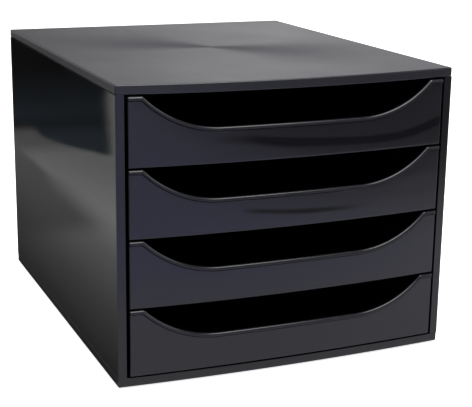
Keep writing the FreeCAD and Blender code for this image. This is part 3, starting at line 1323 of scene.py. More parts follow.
@dataclass
class SidePanel:
    """A side panel with its runners and snap tongues, built right-handed."""

    shop: Workshop
    hand: Hand
    grid: tuple[int, int, int] = (4, 90, 60)
    ripple: float = 0.00012
    ripple_scale: float = 13.0
    tongue_height: float = 0.0044
    barb: float = 0.0007
    barb_height: float = 0.0016
    slot_rib_reach: float = 0.007
    ledge: float = 0.002
    ledge_reach: float = 0.0103
    runner_setback: float = 0.012
    slide_clearance: float = 0.0003
    catch_length: float = 0.006
    edge_radius: float = 0.0015
    edge_segments: int = 4
    joint_share: float = 0.32
    ease: float = 0.0003
    root: float = 0.0003

    @property
    def span_z(self) -> Span:
        """The lower and the upper edge of the wall."""
        return (SIZES.opening_low + SIZES.joint_gap, SIZES.opening_high - SIZES.joint_gap)

    def share(self, middle: Vector) -> float:
        """The part of the edge radius that an edge of the wall gets.

        Args:
            middle: the edge's middle.

        Returns:
            1 on the outer uprights, and less elsewhere.
        """
        low, high = self.span_z
        upright = low + self.ease < middle.z < high - self.ease
        outer = middle.x > SIZES.half - self.ease
        return 1.0 if upright and outer else self.joint_share

    def wall(self) -> bpy.types.Mesh:
        """Makes the wall with its turned-in edges.

        Returns:
            Its mesh, with its edges rounded.
        """
        low, high = self.span_z
        shell = self.shop.mould(
            self.grid,
            self.shop.side,
            low=(SIZES.half - SIZES.frame_width, SIZES.corner_y, low),
            high=(SIZES.half, SIZES.back_y, high),
            open_side=(-1.0, 0.0, 0.0),
            ripple=self.ripple,
            ripple_scale=self.ripple_scale,
        )
        return round_edges(shell, self.edge_radius, self.edge_segments, self.share)

    def runners(self, work: Workpiece) -> None:
        """Adds the ledge, rail and catch of every tray.

        Args:
            work: the panel so far.
        """
        run = (SIZES.corner_y + self.runner_setback, SIZES.slot_rib_y - SIZES.rib + self.root)
        reach = (SIZES.inner_half - self.ledge_reach, SIZES.inner_half + self.root)
        wall_top = SIZES.tray_z(SIZES.tray_count) + SIZES.tray_wall
        ledge_top = wall_top - SIZES.flange - self.slide_clearance
        rail_low = wall_top + SIZES.bump + self.slide_clearance
        runner = Workpiece()
        runner.block(reach, run, (ledge_top - self.ledge, ledge_top), self.ease)
        runner.block(reach, run, (rail_low, rail_low + self.ledge), self.ease)
        catch = (SIZES.catch_y - self.catch_length, SIZES.catch_y)
        catch_z = (wall_top + self.slide_clearance, rail_low + self.root)
        runner.block(reach, catch, catch_z, self.ease)
        step = Vector((0.0, 0.0, SIZES.pitch))
        work.take(self.shop.repeat(runner, SIZES.tray_count, step, self.shop.side))

    def tongues(self, work: Workpiece) -> None:
        """Adds the snap tongues along both long edges.

        Args:
            work: the panel so far.
        """
        low, high = self.span_z[1] - self.root, self.span_z[1] + self.tongue_height
        outside = SIZES.inner_half - SIZES.tongue_clearance
        inside = outside - SIZES.tongue
        outline = [
            (outside, low),
            (outside, high),
            (inside, high),
            (inside - self.barb, high - self.barb_height),
            (inside, high - self.barb_height),
            (inside, low),
        ]
        first, second = SIZES.tongue_places[:2]
        half = SIZES.tongue_length / 2
        tongue, both = Workpiece(), Workpiece()
        tongue.prism(outline, (first - half, first + half))
        step = Vector((0.0, second - first, 0.0))
        both.take(self.shop.repeat(tongue, SIZES.tongue_count, step, self.shop.side))
        mesh = bpy.data.meshes.new("tongues")
        both.mesh.to_mesh(mesh)
        both.flip(Z_AXIS, SIZES.middle_z)
        both.mesh.from_mesh(mesh)
        both.mesh.to_mesh(mesh)
        both.mesh.free()
        work.take(mesh)

    def build(self) -> bpy.types.Object:
        """Builds the panel.

        Returns:
            The finished panel, turned to its hand.
        """
        work = Workpiece()
        work.take(self.wall())
        self.runners(work)
        self.tongues(work)
        slot_x = (SIZES.inner_half - self.slot_rib_reach, SIZES.inner_half + self.root)
        slot_y = (SIZES.slot_rib_y - SIZES.rib, SIZES.slot_rib_y)
        slot_z = (SIZES.opening_low + SIZES.wall / 2, SIZES.opening_high - SIZES.wall / 2)
        work.block(slot_x, slot_y, slot_z, self.ease)
        if self.hand is Hand.LEFT:
            work.flip(X_AXIS, 0.0)
        return work.form(f"{self.hand.name.lower()}_side_moulding", self.shop.side)

    def dress(self, obj: bpy.types.Object) -> None:
        """Hands the panel over to the case."""
        hand_over(obj, "case", Slot.CASE, f"{self.hand.name.lower()}_side_panel")


@dataclass
class BackPanel:
    """The plain panel that slides into the slots at the back."""

    shop: Workshop
    ease: float = 0.0004
    camber: float = 0.0002
    columns: int = 24

    def build(self) -> bpy.types.Object:
        """Builds a thin plate, very slightly cambered between its slots.

        Returns:
            The finished panel.
        """
        half = SIZES.inner_half - SIZES.back_clearance
        low = SIZES.base_z + SIZES.wall + SIZES.back_clearance
        high = SIZES.top_z - SIZES.wall - SIZES.back_clearance
        back = SIZES.back_y - SIZES.wall - SIZES.back_clearance
        front = back - SIZES.wall
        ring = [
            (front, low + self.ease),
            (front + self.ease, low),
            (back - self.ease, low),
            (back, low + self.ease),
            (back, high - self.ease),
            (back - self.ease, high),
            (front + self.ease, high),
            (front, high - self.ease),
        ]
        line = [(x, self.camber * (1 - (x / half) ** 2)) for x in even(-half, half, self.columns)]
        work = Workpiece()
        work.skin([[Vector((x, y - lift, z)) for x, lift in line] for y, z in ring])
        return work.form("back_plate", self.shop.side)

    def dress(self, obj: bpy.types.Object) -> None:
        """Hands the panel over to the case."""
        hand_over(obj, "case", Slot.CASE, "back_panel")


@dataclass
class FootSet:
    """The four round pads under the base.

    The sole is given in shares of the radius and of the dish, and the chamfer's ends in shares
    of its own size.
    """

    shop: Workshop
    height: float = 0.0025
    chamfer: float = 0.0005
    chamfer_ends: tuple[Span, ...] = ((1.0, 0.0), (0.3, 0.3), (0.0, 1.0))
    top_ease: float = 0.0002
    dish: float = 0.0003
    sole: tuple[Span, ...] = ((0.35, 1.0), (0.62, 0.6), (0.8, 0.0))
    sides: int = 48

    @staticmethod
    def centres(inset_x: float = 0.024, inset_y: float = 0.028) -> dict[str, Span]:
        """Places the feet.

        Args:
            inset_x, inset_y: how far they stand from the case's corners.

        Returns:
            The centre of each foot, by its node.
        """
        ends = {"front": SIZES.corner_y + inset_y, "rear": SIZES.back_y - inset_y}
        return {
            f"foot_{end}_{hand.name.lower()}": (hand.value * (SIZES.half - inset_x), y)
            for end, y in ends.items()
            for hand in Hand
        }

    def build(self) -> dict[str, bpy.types.Object]:
        """Builds one pad for each foot, with a slightly dished sole.

        Returns:
            The pads, by their nodes.
        """
        radius = SIZES.foot_radius
        profile = [(radius * out, self.dish * up) for out, up in self.sole]
        profile += [(radius - self.chamfer * x, self.chamfer * z) for x, z in self.chamfer_ends]
        profile += [(radius, self.height - self.top_ease), (radius - self.top_ease, self.height)]
        pads = {}
        for node, (x, y) in self.centres().items():
            work = Workpiece()
            work.lathe(profile, Vector((x, y, 0.0)), self.sides)
            pads[node] = work.form(node.replace("foot", "pad"), self.shop.foot)
        return pads

    def dress(self, pads: Mapping[str, bpy.types.Object]) -> None:
        """Hands the pads over to the case."""
        for node, obj in pads.items():
            hand_over(obj, "case", Slot.FOOT, node)


# ---- trays ----


@dataclass(frozen=True)
class ScoopRim:
    """The upper edge of a tray front: a tab at each end and a scoop between them."""

    half: float = SIZES.front_half
    height: float = SIZES.front_height
    lip: float = 0.028
    radius: float = 0.087
    tab: float = 0.0115
    corner: float = 0.0022
    end: float = 0.0007
    end_steps: int = 5
    tab_steps: int = 6
    corner_steps: int = 6
    arc_steps: int = 30
    lip_steps: int = 18

    def path(self, inset: float) -> list[Span]:
        """Points along the rim, from the left end to the right end.

        Args:
            inset: how far the line lies inside the rim.

        Returns:
            The (x, z) points, as many for every inset.
        """
        top, lip, radius = self.height - inset, self.lip - inset, self.radius + inset
        centre_z = self.lip + self.radius
        scoop = math.sqrt(self.radius**2 - (centre_z - self.height) ** 2)
        flat = self.half - self.tab - scoop
        reach = math.sqrt(radius**2 - (centre_z - top) ** 2)
        turn = math.asin(reach / radius)
        ease = (self.corner + inset / 2) * math.tan(turn / 2)
        sweep = turn - ease / radius
        arc = [
            Vector((-flat - radius * math.sin(a), centre_z - radius * math.cos(a)))
            for a in even(sweep, 0.0, self.arc_steps)
        ]
        corner = Vector((-(flat + reach), top))
        start = corner - Vector((ease, 0.0))
        points = [(self.end * back - self.half, top) for _, back in quarter(self.end_steps)]
        points += [(x, top) for x in even(points[-1][0], start.x, self.tab_steps)[1:]]
        for t in even(0.0, 1.0, self.corner_steps)[1:]:
            points.append(tuple(start * (1 - t) ** 2 + corner * (2 * t * (1 - t)) + arc[0] * t**2))
        points += [tuple(point) for point in arc[1:]]
        points += [(x, lip) for x in even(-flat, 0.0, self.lip_steps)[1:]]
        return points + [(-x, z) for x, z in reversed(points[:-1])]


def recede(distance: float, radius: float) -> float:
    """How far a rounded edge stands back at a distance from it."""
    return radius - math.sqrt(radius**2 - max(radius - distance, 0.0) ** 2)


def smooth(value: float, low: float, high: float) -> float:
    """0 below low, 1 above high, and smooth between them."""
    share = min(max((value - low) / (high - low), 0.0), 1.0)
    return share * share * (3 - 2 * share)


def follow(points: Sequence[Span], x: float) -> float:
    """A smooth line through points.

    Args:
        points: its (x, height) points.
        x: where to read it; past its ends it is level.

    Returns:
        Its height.
    """
    slopes = [
        (after[1] - before[1]) / (after[0] - before[0])
        for before, after in zip([points[0], *points[:-1]], [*points[1:], points[-1]])
    ]
    x = min(max(x, points[0][0]), points[-1][0])
    i = next(i for i, (end, _) in enumerate(points[1:]) if x <= end)
    (x0, z0), (x1, z1) = points[i : i + 2]
    t, span = (x - x0) / (x1 - x0), x1 - x0
    start = (1 + 2 * t) * (1 - t) ** 2 * z0 + t * (1 - t) ** 2 * span * slopes[i]
    end = t**2 * (3 - 2 * t) * z1 + t**2 * (t - 1) * span * slopes[i + 1]
    return start + end


@dataclass(frozen=True)
class SinkMark:
    """A shallow step across a tray front, where the moulding shrank above its floor."""

    depth: float
    width: float
    reach: Span
    fade: Span
    line: tuple[Span, ...]

    def depth_at(self, x: float, z: float) -> float:
        """How far the face is sunk at a place.

        Args:
            x, z: the place on the front.

        Returns:
            The depth there.
        """
        along = smooth(x, self.reach[0] - self.fade[0], self.reach[0])
        along *= 1 - smooth(x, self.reach[1], self.reach[1] + self.fade[1])
        low = follow(self.line, x) - self.width / 2
        return self.depth * along * smooth(z, low, low + self.width)


@dataclass
class Tray:
    """One pull-out tray: bowed front with its scoop and raised rim, pan and side flanges.

    The groove's section is given in shares of its width and depth, from the face to the bead,
    and the bead's shoulder as distances from its foot and its crest.
    """

    shop: Workshop
    number: int
    sag: float = 0.0
    sink: SinkMark | None = None
    rim: ScoopRim = ScoopRim()
    front: float = 0.0024
    bead_width: float = 0.0028
    shoulder: tuple[Span, ...] = ((0.00002, 0.0002), (0.00012, 0.00005), (0.00032, 0.0))
    groove: float = 0.0010
    groove_width: float = 0.0008
    groove_section: tuple[Span, ...] = (
        (1.0, 0.0), (0.8, 0.15), (0.65, 0.85), (0.3, 1.0), (0.05, 0.8), (0.0, 0.0),
    )
    rim_round: float = 0.0021
    rim_steps: int = 5
    rim_back: float = 0.00045
    rim_bend: float = 0.00013
    edge: float = 0.0006
    edge_steps: int = 3
    face_steps: int = 22
    face_end: float = 0.992
    back_steps: int = 6
    heel: float = 0.0003
    heel_rise: float = 0.0002
    camber: float = 0.00008
    skin: float = 0.0018
    half: float = 0.128
    corner: float = 0.005
    corner_steps: int = 8
    joint_steps: int = 40
    fillet: float = 0.0025
    toe_steps: int = 4
    toe_run: float = 0.002
    floor_steps: int = 5
    wall_steps: int = 3
    wall_foot: float = 0.0008
    wall_crest: float = 0.0005
    flange_reach: float = 0.0045
    bump_width: float = 0.003
    ease: float = 0.0003
    embed: float = 0.0006

    def bead_section(self) -> list[Span]:
        """The rim's section, from the face over the bead to the back.

        Returns:
            (inset, height ahead of the face) points.
        """
        width, crest, back = self.bead_width, SIZES.bead_proud, -self.front
        points = [
            (width + across * self.groove_width, -down * self.groove)
            for across, down in self.groove_section
        ]
        points += [(width - across, crest - down) for across, down in self.shoulder]
        points += [
            (self.rim_round * inset, crest - self.rim_round * down)
            for inset, down in quarter(self.rim_steps)
        ]
        points += [(0.0, back / 2), (0.0, back + self.rim_back)]
        return points + [(self.rim_bend, back + self.rim_bend), (self.rim_back, back)]

    def face_height(self, x: float, z: float, rim_z: float) -> float:
        """How far the face stands ahead of its true bow: a shallow camber, less its sink."""
        ahead = self.camber * (1 - (2 * z / rim_z - 1) ** 2)
        return ahead - (self.sink.depth_at(x, z) if self.sink else 0.0)

    def point(self, x: float, z: float, ahead: float) -> Vector:
        """A point of the front, with its rounded ends and its sag.

        Args:
            x, z: the place on the front.
            ahead: how far the point lies ahead of the bowed face.

        Returns:
            The point.
        """
        share = min(max((ahead + self.front) / self.front, 0.0), 1.0)
        ahead -= recede(self.rim.half - abs(x), self.rim.end) * (2 * share - 1)
        sag = self.sag * (1 - (x / self.rim.half) ** 2)
        return Vector((x, SIZES.bowed_y(x, SIZES.tray_proud + ahead), z - sag))

    def front_rows(self) -> list[list[Vector]]:
        """The front's surface: up its face, over its rim and down its back.

        Returns:
            Rows of points round its section.
        """
        foot = self.rim.path(self.bead_width + self.groove_width)
        rows = [
            [self.point(x, self.edge * up, -self.edge * back) for x, _ in foot]
            for back, up in quarter(self.edge_steps)
        ]
        for v in [*even(0.0, 1.0, self.face_steps)[1:-1], self.face_end]:
            heights = [(x, self.edge + (rim_z - self.edge) * v, rim_z) for x, rim_z in foot]
            rows.append([self.point(x, z, self.face_height(x, z, top)) for x, z, top in heights])
        for inset, ahead in self.bead_section():
            rows.append([self.point(x, z, ahead) for x, z in self.rim.path(inset)])
        back = self.rim.path(self.rim_back)
        toe = self.skin + self.fillet
        for v in even(1.0, 0.0, self.back_steps)[1:]:
            rows.append([self.point(x, toe + (z - toe) * v, -self.front) for x, z in back])
        inside = self.skin / 2
        turns = [(self.skin + self.fillet * up, out) for up, out in quarter(self.toe_steps)[1:]]
        for z, out in [*turns, (inside, 1.0), (inside - self.heel_rise, 0.0), (self.heel, 0.0)]:
            rows.append([self.point(x, z, -self.front - self.toe(x) * out) for x, _ in back])
        rows.append([self.point(x, 0.0, self.heel - self.front) for x, _ in back])
        return rows

    def toe(self, x: float) -> float:
        """The fillet where the front meets the floor, which ends inside the side walls."""
        share = (self.half - self.skin - abs(x)) / self.toe_run
        return self.fillet * min(max(share, 0.0), 1.0)

    def joint_y(self, x: float) -> float:
        """Where the pan ends inside the front."""
        return SIZES.bowed_y(x, SIZES.tray_proud - self.front + self.embed)

    def wall_section(self) -> list[Span]:
        """The pan's wall, from its underside over its top to its floor.

        Returns:
            (inset, z) points.
        """
        foot, crest = self.wall_foot, self.wall_crest
        bend = quarter(self.wall_steps)
        points = [(foot * inset, foot * up) for inset, up in bend]
        points += [(crest * inset, SIZES.tray_wall - crest * down) for down, inset in bend]
        points += [
            (self.skin - crest * inset, SIZES.tray_wall - crest * down)
            for down, inset in reversed(bend)
        ]
        fillet = quarter(self.floor_steps)
        return points + [
            (self.skin + self.fillet * inset, self.skin + self.fillet * up) for up, inset in fillet
        ]

    def stations(self) -> list[tuple[Vector, Vector]]:
        """The line of the pan's walls, from the left of the front round the back.

        Returns:
            The place of each station and the way out of the pan there.
        """
        inner_x, inner_y = self.half - self.corner, SIZES.tray_back_y - self.corner
        stations = []
        for hand, start, end in ((Hand.LEFT, 1.0, 0.5), (Hand.RIGHT, 0.5, 0.0)):
            for turn in even(start * math.pi, end * math.pi, self.corner_steps):
                way = Vector((math.cos(turn), math.sin(turn)))
                centre = Vector((hand.value * inner_x, inner_y))
                stations.append((centre + way * self.corner, way))
        left, right = (Vector((hand.value, 0.0)) for hand in Hand)
        return [(left * self.half, left), *stations, (right * self.half, right)]

    def pan(self, work: Workpiece) -> None:
        """Adds the floor, the side walls and the back wall as one closed shell.

        Args:
            work: the tray so far.
        """
        stations, section = self.stations(), self.wall_section()
        rows = []
        for inset, z in section:
            line = [spot - way * inset for spot, way in stations]
            for end in (line[0], line[-1]):
                end.y = self.joint_y(end.x)
            rows.append(work.row((at.x, at.y, z) for at in line))
        for lower, upper in zip(rows, rows[1:]):
            work.bridge(lower, upper)
        reach = self.half - section[-1][0]
        inner = [(x, self.joint_y(x)) for x in even(-reach, reach, self.joint_steps)]
        low = work.row((x, y, 0.0) for x, y in inner)
        high = work.row((x, y, self.skin) for x, y in inner[1:-1])
        work.bridge(low, [rows[-1][0], *high, rows[-1][-1]])
        work.mesh.faces.new([row[0] for row in rows] + [low[0]])
        work.mesh.faces.new([row[-1] for row in rows] + [low[-1]])
        work.mesh.faces.new(rows[0] + low[::-1])
        work.mesh.faces.new(rows[-1] + high[::-1])

    def flanges(self, work: Workpiece) -> None:
        """Adds the flange and its stop bump on each side.

        Args:
            work: the tray so far.
        """
        low, top = SIZES.tray_wall - SIZES.flange, SIZES.tray_wall
        reach, root = self.half + self.flange_reach, self.half - self.skin / 2
        flange_y = (self.joint_y(reach), SIZES.tray_back_y - self.corner)
        bump_y = (SIZES.bump_y, SIZES.bump_y + SIZES.bump_length)
        for hand in Hand:
            flange_x, bump_x = (
                tuple(sorted((hand.value * inner, hand.value * reach)))
                for inner in (root, reach - self.bump_width)
            )
            work.block(flange_x, flange_y, (low, top), self.ease)
            work.block(bump_x, bump_y, (low, top + SIZES.bump), 2 * self.ease)

    def build(self) -> bpy.types.Object:
        """Builds the tray.

        Returns:
            The finished tray at its height in the case.
        """
        work = Workpiece()
        work.skin(self.front_rows())
        self.pan(work)
        self.flanges(work)
        work.shift(Vector((0.0, 0.0, SIZES.tray_z(self.number))))
        return work.form(f"tray_{self.number}", self.shop.tray)

    def dress(self, obj: bpy.types.Object) -> None:
        """Hands the tray over to its body."""
        body = f"drawer_{self.number}"
        hand_over(obj, body, Slot.TRAY, body)


# ---- studio ----

WHITE = (1.0, 1.0, 1.0)
COOL = (0.78, 1.0, 1.22)
LILAC = (1.0, 1.0, 1.025)


def tinted(tint: Triple, *levels: Span) -> tuple[Stop, ...]:
    """Stops of one tint, from their (place, level) pairs."""
    return tuple((at, tuple(level * part for part in tint)) for at, level in levels)


@dataclass(frozen=True)
class Viewpoint:
    """The camera: where it stands, where it looks and its focal length in picture widths."""

    place: Triple = (-0.394408, -0.992775, 0.382183)
    azimuth: float = -22.901
    elevation: float = 15.122
    roll: float = 0.817
    focal: float = 2.553127
    sensor: float = 36.0
    near: float = 0.01

    def make(self) -> None:
        """Makes the scene's camera."""
        turn, rise, roll = map(math.radians, (self.azimuth, self.elevation, self.roll))
        level = math.cos(rise)
        back = Vector((math.sin(turn) * level, -math.cos(turn) * level, math.sin(rise)))
        side = (-back).cross(Vector((0.0, 0.0, 1.0))).normalized()
        upright = side.cross(-back)
        right = side * math.cos(roll) + upright * math.sin(roll)
        up = upright * math.cos(roll) - side * math.sin(roll)
        data = bpy.data.cameras.new("camera")
        data.sensor_width = self.sensor
        data.lens = self.focal * self.sensor
        data.clip_start = self.near
        camera = new_object("camera", data)
        turned = Matrix((right, up, back)).transposed().to_4x4()
        camera.matrix_world = Matrix.Translation(self.place) @ turned
        bpy.context.scene.camera = camera


@dataclass(frozen=True)
class Softbox:
    """A large soft lamp that faces the cabinet."""

    name: str
    place: Triple
    size: float
    power: float
    aim: Triple = (0.0, 0.0, 0.12)

    def make(self) -> None:
        """Makes the lamp."""
        data = bpy.data.lights.new(self.name, "AREA")
        data.shape = "DISK"
        data.size = self.size
        data.energy = self.power
        lamp = new_object(self.name, data)
        lamp.location = self.place
        lamp.rotation_mode = "QUATERNION"
        way = Vector(self.aim) - Vector(self.place)
        lamp.rotation_quaternion = way.to_track_quat("-Z", "Y")
        lamp.visible_glossy = False


@dataclass(frozen=True)
class Card:
    """A flat glowing card that only the plastic's gloss sees, which paints a reflection into the
    plastic; its light changes along one axis.
    """

    name: str
    outline: tuple[Triple, ...]
    way: Triple
    stops: tuple[Stop, ...]
    cloud: float = 0.15
    cloud_noise: Span = (3.0, 3.0)

    def make(self) -> None:
        """Makes the card, hidden from the camera and from the lamps."""
        mesh = bpy.data.meshes.new(self.name)
        mesh.from_pydata(self.outline, [], [tuple(range(len(self.outline)))])
        card = new_object(self.name, mesh)
        for ray in ("camera", "diffuse", "shadow", "transmission"):
            setattr(card, f"visible_{ray}", False)
        material, bench = start_material(self.name)
        place = bench.place()
        along = bench.vector("DOT_PRODUCT", place, self.way, output="Value")
        noise = bench.noise(place, *self.cloud_noise)
        strength = 1.0 + (noise - 0.5) * (2 * self.cloud)
        feeds = {"Color": bench.profile(along, self.stops), "Strength": strength}
        glow = bench.out("ShaderNodeEmission", None, feeds)
        bench.node("ShaderNodeOutputMaterial", None, {"Surface": glow})
        mesh.materials.append(material)
        card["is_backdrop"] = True


@dataclass(frozen=True)
class PaintedFloorReflection:
    """A painted reflection: the glowing pattern that the plastic's gloss sees in place of the
    floor, bright in front, with painted shade close beside and behind the case.

    Each span gives the places or distances between which one level turns into the next one,
    and the profiles beside, shaded and beyond give (distance, level) pairs.
    """

    near_level: float = 0.82
    near_gain: float = 0.25
    far_level: float = 0.70
    far_drop: float = 0.48
    across: Span = (0.0, 0.5)
    ahead: Span = (0.30, 0.85)
    dark_level: float = 0.01
    dark_across: Span = (0.52, 0.80)
    dark_ahead: Span = (1.30, 1.60)
    dim_share: float = 0.65
    dim_across: Span = (0.15, 0.19)
    dim_ahead: Span = (1.40, 1.80)
    plain_tint: Triple = (0.98, 0.96, 1.08)
    violet_tint: Triple = (0.83, 0.85, 1.32)
    violet_ahead: Span = (0.25, 0.5)
    # beside and shaded are painted shade close to the case; beyond is the painted reflection
    # farther back.
    beside: tuple[Span, ...] = (
        (-0.02, 0.02), (0.0, 0.04), (0.045, 0.145), (0.095, 0.31),
        (0.135, 0.56), (0.18, 0.50), (0.30, 0.42), (1.0, 0.43),
    )
    shaded: tuple[Span, ...] = (
        (-0.02, 0.02), (0.0, 0.04), (0.025, 0.08), (0.047, 0.11), (0.085, 0.165), (0.13, 0.20),
    )
    beyond: tuple[Span, ...] = (
        (0.30, 0.56), (0.385, 0.50), (0.455, 0.44), (0.54, 0.385),
        (0.64, 0.335), (0.72, 0.19), (0.80, 0.17), (0.86, 0.03),
    )
    strip: Span = (0.20, 0.24)
    strip_level: float = 0.40
    turn: float = 0.04
    shade_start: Span = (0.22, 0.32)
    shade_edge: float = 0.121
    shade_soft: float = 0.024
    shade_sharp: float = 0.004
    shade_turn: Span = (0.44, 0.57)
    behind_drop: float = 0.9
    behind: Span = (0.80, 1.20)
    behind_across: Span = (-0.30, -0.10)
    corner: Span = (-0.176, -0.150)

    def in_front(self, bench: NodeBench, x: Signal, y: Signal) -> tuple[Signal, Signal]:
        """The painted reflection of the floor in front, with painted shade on the left and far
        ahead on the right.

        Args:
            bench: the floor's bench.
            x, y: the place on the floor.

        Returns:
            Its tint and its level.
        """
        ahead = 0.0 - y
        across = bench.ramp(x, *self.across)
        near = self.near_level + across * self.near_gain
        far = self.far_level - across * self.far_drop
        level = near + (far - near) * bench.ramp(ahead, *self.ahead)
        # Painted shade far ahead on the right.
        dark = bench.ramp(ahead, *self.dark_ahead) * bench.ramp(x, *self.dark_across)
        level = level + (self.dark_level - level) * dark
        # Painted shade on the left, which fades out far ahead.
        dim = bench.ramp(0.0 - x, *self.dim_across) * self.dim_share
        level = level * (1.0 - dim * (1.0 - bench.ramp(ahead, *self.dim_ahead)))
        violet = (1.0 - across) * bench.ramp(ahead, *self.violet_ahead)
        return bench.blend(violet, self.plain_tint, self.violet_tint), level

    def at_side(self, bench: NodeBench, x: Signal, y: Signal) -> Signal:
        """The painted reflection of the floor beside and behind, from the distance to the case,
        with painted shade close to it.

        Args:
            bench: the floor's bench.
            x, y: the place on the floor.

        Returns:
            Its level.
        """
        rear = bench.math("MAXIMUM", bench.math("ABSOLUTE", x) - SIZES.half, y - SIZES.back_y)
        left = 0.0 - x - SIZES.half
        away = rear + (left - rear) * bench.ramp(left, -self.turn, 0.0)
        near, shaded, lit = (
            bench.profile(value, tinted(WHITE, *levels))
            for value, levels in ((away, self.beside), (away, self.shaded), (y, self.beyond))
        )
        lit = lit + (self.strip_level - lit) * bench.ramp(away, *self.strip)
        sharp = bench.ramp(y, *self.shade_turn)
        soft = self.shade_soft + sharp * (self.shade_sharp - self.shade_soft)
        edge = bench.ramp(away, self.shade_edge - soft, self.shade_edge + soft)
        far = shaded + (lit - shaded) * edge
        level = near + (far - near) * bench.ramp(y, *self.shade_start)
        # Painted shade far behind the case, except on the left.
        behind = bench.ramp(y, *self.behind) * bench.ramp(x, *self.behind_across)
        return level * (1.0 - behind * self.behind_drop)

    def make(self, bench: NodeBench) -> Signal:
        """Adds the glowing surface that the gloss sees, a painted reflection.

        Args:
            bench: the floor's bench.

        Returns:
            The surface.
        """
        x, y, _ = bench.axes(bench.place())
        tint, front = self.in_front(bench, x, y)
        side = self.at_side(bench, x, y)
        share = bench.ramp(y, *self.corner)
        strength = front + (side - front) * share
        feeds = {"Color": bench.blend(share, tint, WHITE), "Strength": strength}
        return bench.out("ShaderNodeEmission", None, feeds)


def upright(
    x: float, far: float, near: float = -2.5, low: float = 0.3, high: float = 2.6
) -> tuple[Triple, ...]:
    """The outline of a card that stands beside the cabinet, from the y near to the y far."""
    return ((x, near, low), (x, far, low), (x, far, high), (x, near, high))


def disc(radius: float, y: float, z: float, corners: int = 24) -> tuple[Triple, ...]:
    """The outline of a round card that lies at that y and height."""
    turns = (2 * math.pi * i / corners for i in range(corners))
    return tuple((radius * math.cos(turn), y + radius * math.sin(turn), z) for turn in turns)


# A painted reflection of shade: a dark glowing card on the floor beside the left side, which only
# the gloss sees.
SHADE_HEIGHT = 0.002
SHADE_EDGE = (
    (-0.295, 0.884), (-0.292, 0.851), (-0.305, 0.880), (-0.316, 0.877), (-0.313, 0.812),
    (-0.310, 0.765), (-0.322, 0.709), (-0.342, 0.659), (-0.357, 0.625), (-0.369, 0.595),
    (-0.381, 0.632), (-0.408, 0.724), (-0.446, 0.859), (-0.496, 1.034), (-0.60, 1.33),
    (-1.30, 3.4), (-0.20, 3.4), (-0.20, 0.884),
)
PAINTED_SHADE_CARD = Card(
    name="dark_card_left",
    outline=tuple((x, y, SHADE_HEIGHT) for x, y in SHADE_EDGE),
    way=(0.0, 1.0, 0.0),
    stops=(
        *tinted(COOL, (0.58, 0.062), (0.74, 0.055), (0.84, 0.026), (0.95, 0.034), (1.12, 0.020)),
        *tinted(WHITE, (1.40, 0.006), (1.95, 0.006), (2.15, 0.45), (3.40, 0.50)),
    ),
)
# A painted dark reflection: a near-black glowing card at the left, which only the gloss sees.
LEFT_CARD = Card(
    name="side_card_left",
    outline=upright(-2.6, 0.8),
    way=(0.0, 0.0, 1.0),
    stops=tinted(WHITE, (0.3, 0.02), (2.6, 0.02)),
)
# A painted highlight: a bright glowing card at the right, which only the gloss sees, for the rims
# that face it.
RIGHT_CARD = Card(
    name="side_card_right",
    outline=upright(2.6, 1.0),
    way=(0.0, 0.0, 1.0),
    stops=tinted(LILAC, (0.3, 1.2), (2.6, 2.0)),
)
# A painted reflection: a glowing card behind the cabinet, which only the gloss sees, gives the lid
# its sheen, brightest behind to the right.
PAINTED_BACKDROP_SHEEN = Card(
    name="backdrop",
    outline=((-3.0, 3.0, 0.0), (4.5, 3.0, 0.0), (4.5, 3.0, 1.6), (-3.0, 3.0, 1.6)),
    way=(1.0, 0.0, 0.0),
    stops=(
        *tinted(WHITE, (-3.0, 0.70), (0.30, 0.24)),
        *tinted(LILAC, (0.45, 0.24), (0.80, 0.48), (1.15, 0.72), (1.44, 0.86), (1.75, 0.68)),
        *tinted(LILAC, (2.20, 0.60), (4.50, 0.50)),
    ),
    cloud=0.05,
)
# A painted highlight: a bright glowing disc overhead, which only the gloss sees, for the bright
# lines along the rims and the lid's front edge.
OVERHEAD_HIGHLIGHT_CARD = Card(
    name="overhead_card",
    outline=disc(radius=0.92, y=-0.70, z=1.9),
    way=(1.0, 0.0, 0.0),
    stops=tinted(WHITE, (-0.9, 3.0), (0.0, 5.5), (0.9, 6.0)),
    cloud=0.05,
)


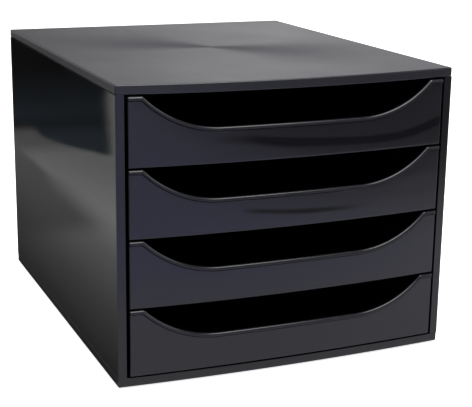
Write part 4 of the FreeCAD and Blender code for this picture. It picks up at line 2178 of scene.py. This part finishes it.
@dataclass
class Studio:
    """A pale floor under soft light, with glowing cards and a floor pattern that paint reflections,
    highlights and shade into the plastic's gloss.
    """

    floor_size: float = 40.0
    floor_colour: Triple = (0.90, 0.90, 0.90)
    floor_glow: float = 0.80
    painted_reflection: PaintedFloorReflection = PaintedFloorReflection()
    sky: float = 0.55
    gloss_sky: float = 0.35
    lamps: tuple[Softbox, ...] = (
        Softbox("key_softbox", (-0.10, -0.80, 1.9), 1.5, 30.0),
        Softbox("top_softbox", (0.1, 0.5, 2.2), 1.6, 20.0),
    )
    cards: tuple[Card, ...] = (PAINTED_SHADE_CARD, LEFT_CARD, RIGHT_CARD, PAINTED_BACKDROP_SHEEN, OVERHEAD_HIGHLIGHT_CARD)

    def make(self) -> None:
        """Makes the floor, the lamps, the cards that paint reflections, and the sky, which is
        painted dimmer in the gloss.
        """
        self.floor()
        for piece in (*self.lamps, *self.cards):
            piece.make()
        world = bpy.data.worlds.new("studio")
        bpy.context.scene.world = world
        world.use_nodes = True
        world.node_tree.nodes.clear()
        bench = NodeBench(world.node_tree)
        # The sky is painted dimmer in the gloss than in the light that it gives.
        glossy = bench.out("ShaderNodeLightPath", output="Is Glossy Ray")
        feeds = {"Color": WHITE, "Strength": self.sky + glossy * (self.gloss_sky - self.sky)}
        sky = bench.out("ShaderNodeBackground", None, feeds)
        bench.node("ShaderNodeOutputWorld", None, {"Surface": sky})
        bpy.context.scene.view_settings.view_transform = "Standard"

    def floor(self) -> None:
        """Makes the floor: white to the eye, and a painted reflection with painted shade in the
        gloss of the plastic.
        """
        work = Workpiece()
        half = self.floor_size / 2
        corners = ((-half, -half, 0.0), (half, -half, 0.0), (half, half, 0.0), (-half, half, 0.0))
        work.mesh.faces.new(work.row(corners))
        material, bench = start_material("floor_paper")
        seen, glossy = (
            bench.out("ShaderNodeLightPath", output=f"Is {ray} Ray") for ray in ("Camera", "Glossy")
        )
        paper = bench.out("ShaderNodeBsdfDiffuse", None, {"Color": self.floor_colour})
        glow = bench.out("ShaderNodeEmission", None, {"Strength": seen * self.floor_glow})
        both = bench.out("ShaderNodeAddShader", None, {0: paper, 1: glow})
        # Glossy rays see the painted reflection instead of the paper.
        feeds = {0: glossy, 1: both, 2: self.painted_reflection.make(bench)}
        surface = bench.out("ShaderNodeMixShader", None, feeds)
        bench.node("ShaderNodeOutputMaterial", None, {"Surface": surface})
        work.form("floor", material)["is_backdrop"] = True


# ---- the whole cabinet ----

UPPER_SINK = SinkMark(
    depth=0.00062,
    width=0.0100,
    reach=(0.0, 0.150),
    fade=(0.085, 0.010),
    line=(
        (-0.070, 0.0178), (-0.038, 0.0165), (-0.004, 0.0125), (0.030, 0.0104),
        (0.066, 0.0090), (0.094, 0.0104), (0.113, 0.0138), (0.132, 0.0196),
    ),
)
SECOND_SINK = SinkMark(
    depth=0.00036,
    width=0.0050,
    reach=(-0.028, 0.008),
    fade=(0.022, 0.070),
    line=((-0.045, 0.0165), (0.0, 0.0118), (0.046, 0.0105), (0.080, 0.0115)),
)
LID_SAG = 0.0014
FRONT_SAG = 0.0008


def build_cabinet() -> None:
    """Builds and dresses every sub-assembly."""
    shop = Workshop()
    parts: Iterable[Any] = (
        Cap(shop, is_base=False, sag=LID_SAG),
        Cap(shop, is_base=True),
        SidePanel(shop, Hand.LEFT),
        SidePanel(shop, Hand.RIGHT),
        BackPanel(shop),
        FootSet(shop),
        Tray(shop, 1, sag=FRONT_SAG, sink=UPPER_SINK),
        Tray(shop, 2, sag=FRONT_SAG, sink=SECOND_SINK),
        Tray(shop, 3, sag=FRONT_SAG),
        Tray(shop, 4),
    )
    for part in parts:
        part.dress(part.build())


def write_size(before: Sequence[Vector], after: Sequence[Vector]) -> None:
    """Lists the boxes, in metres, and keeps the lists nowhere.

    Args:
        before: the solids' box.
        after: the dressed model's box.
    """
    boxes = {"cad": before, "visual": after}
    {name: [list(c) for c in box] for name, box in boxes.items()}


def main() -> None:
    """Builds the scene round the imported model."""
    logging.basicConfig(level=logging.INFO, format="%(message)s")
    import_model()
    cad_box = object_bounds()
    Viewpoint().make()
    build_cabinet()
    Studio().make()
    write_size(cad_box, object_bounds())


if __name__ == "__main__":
    main()
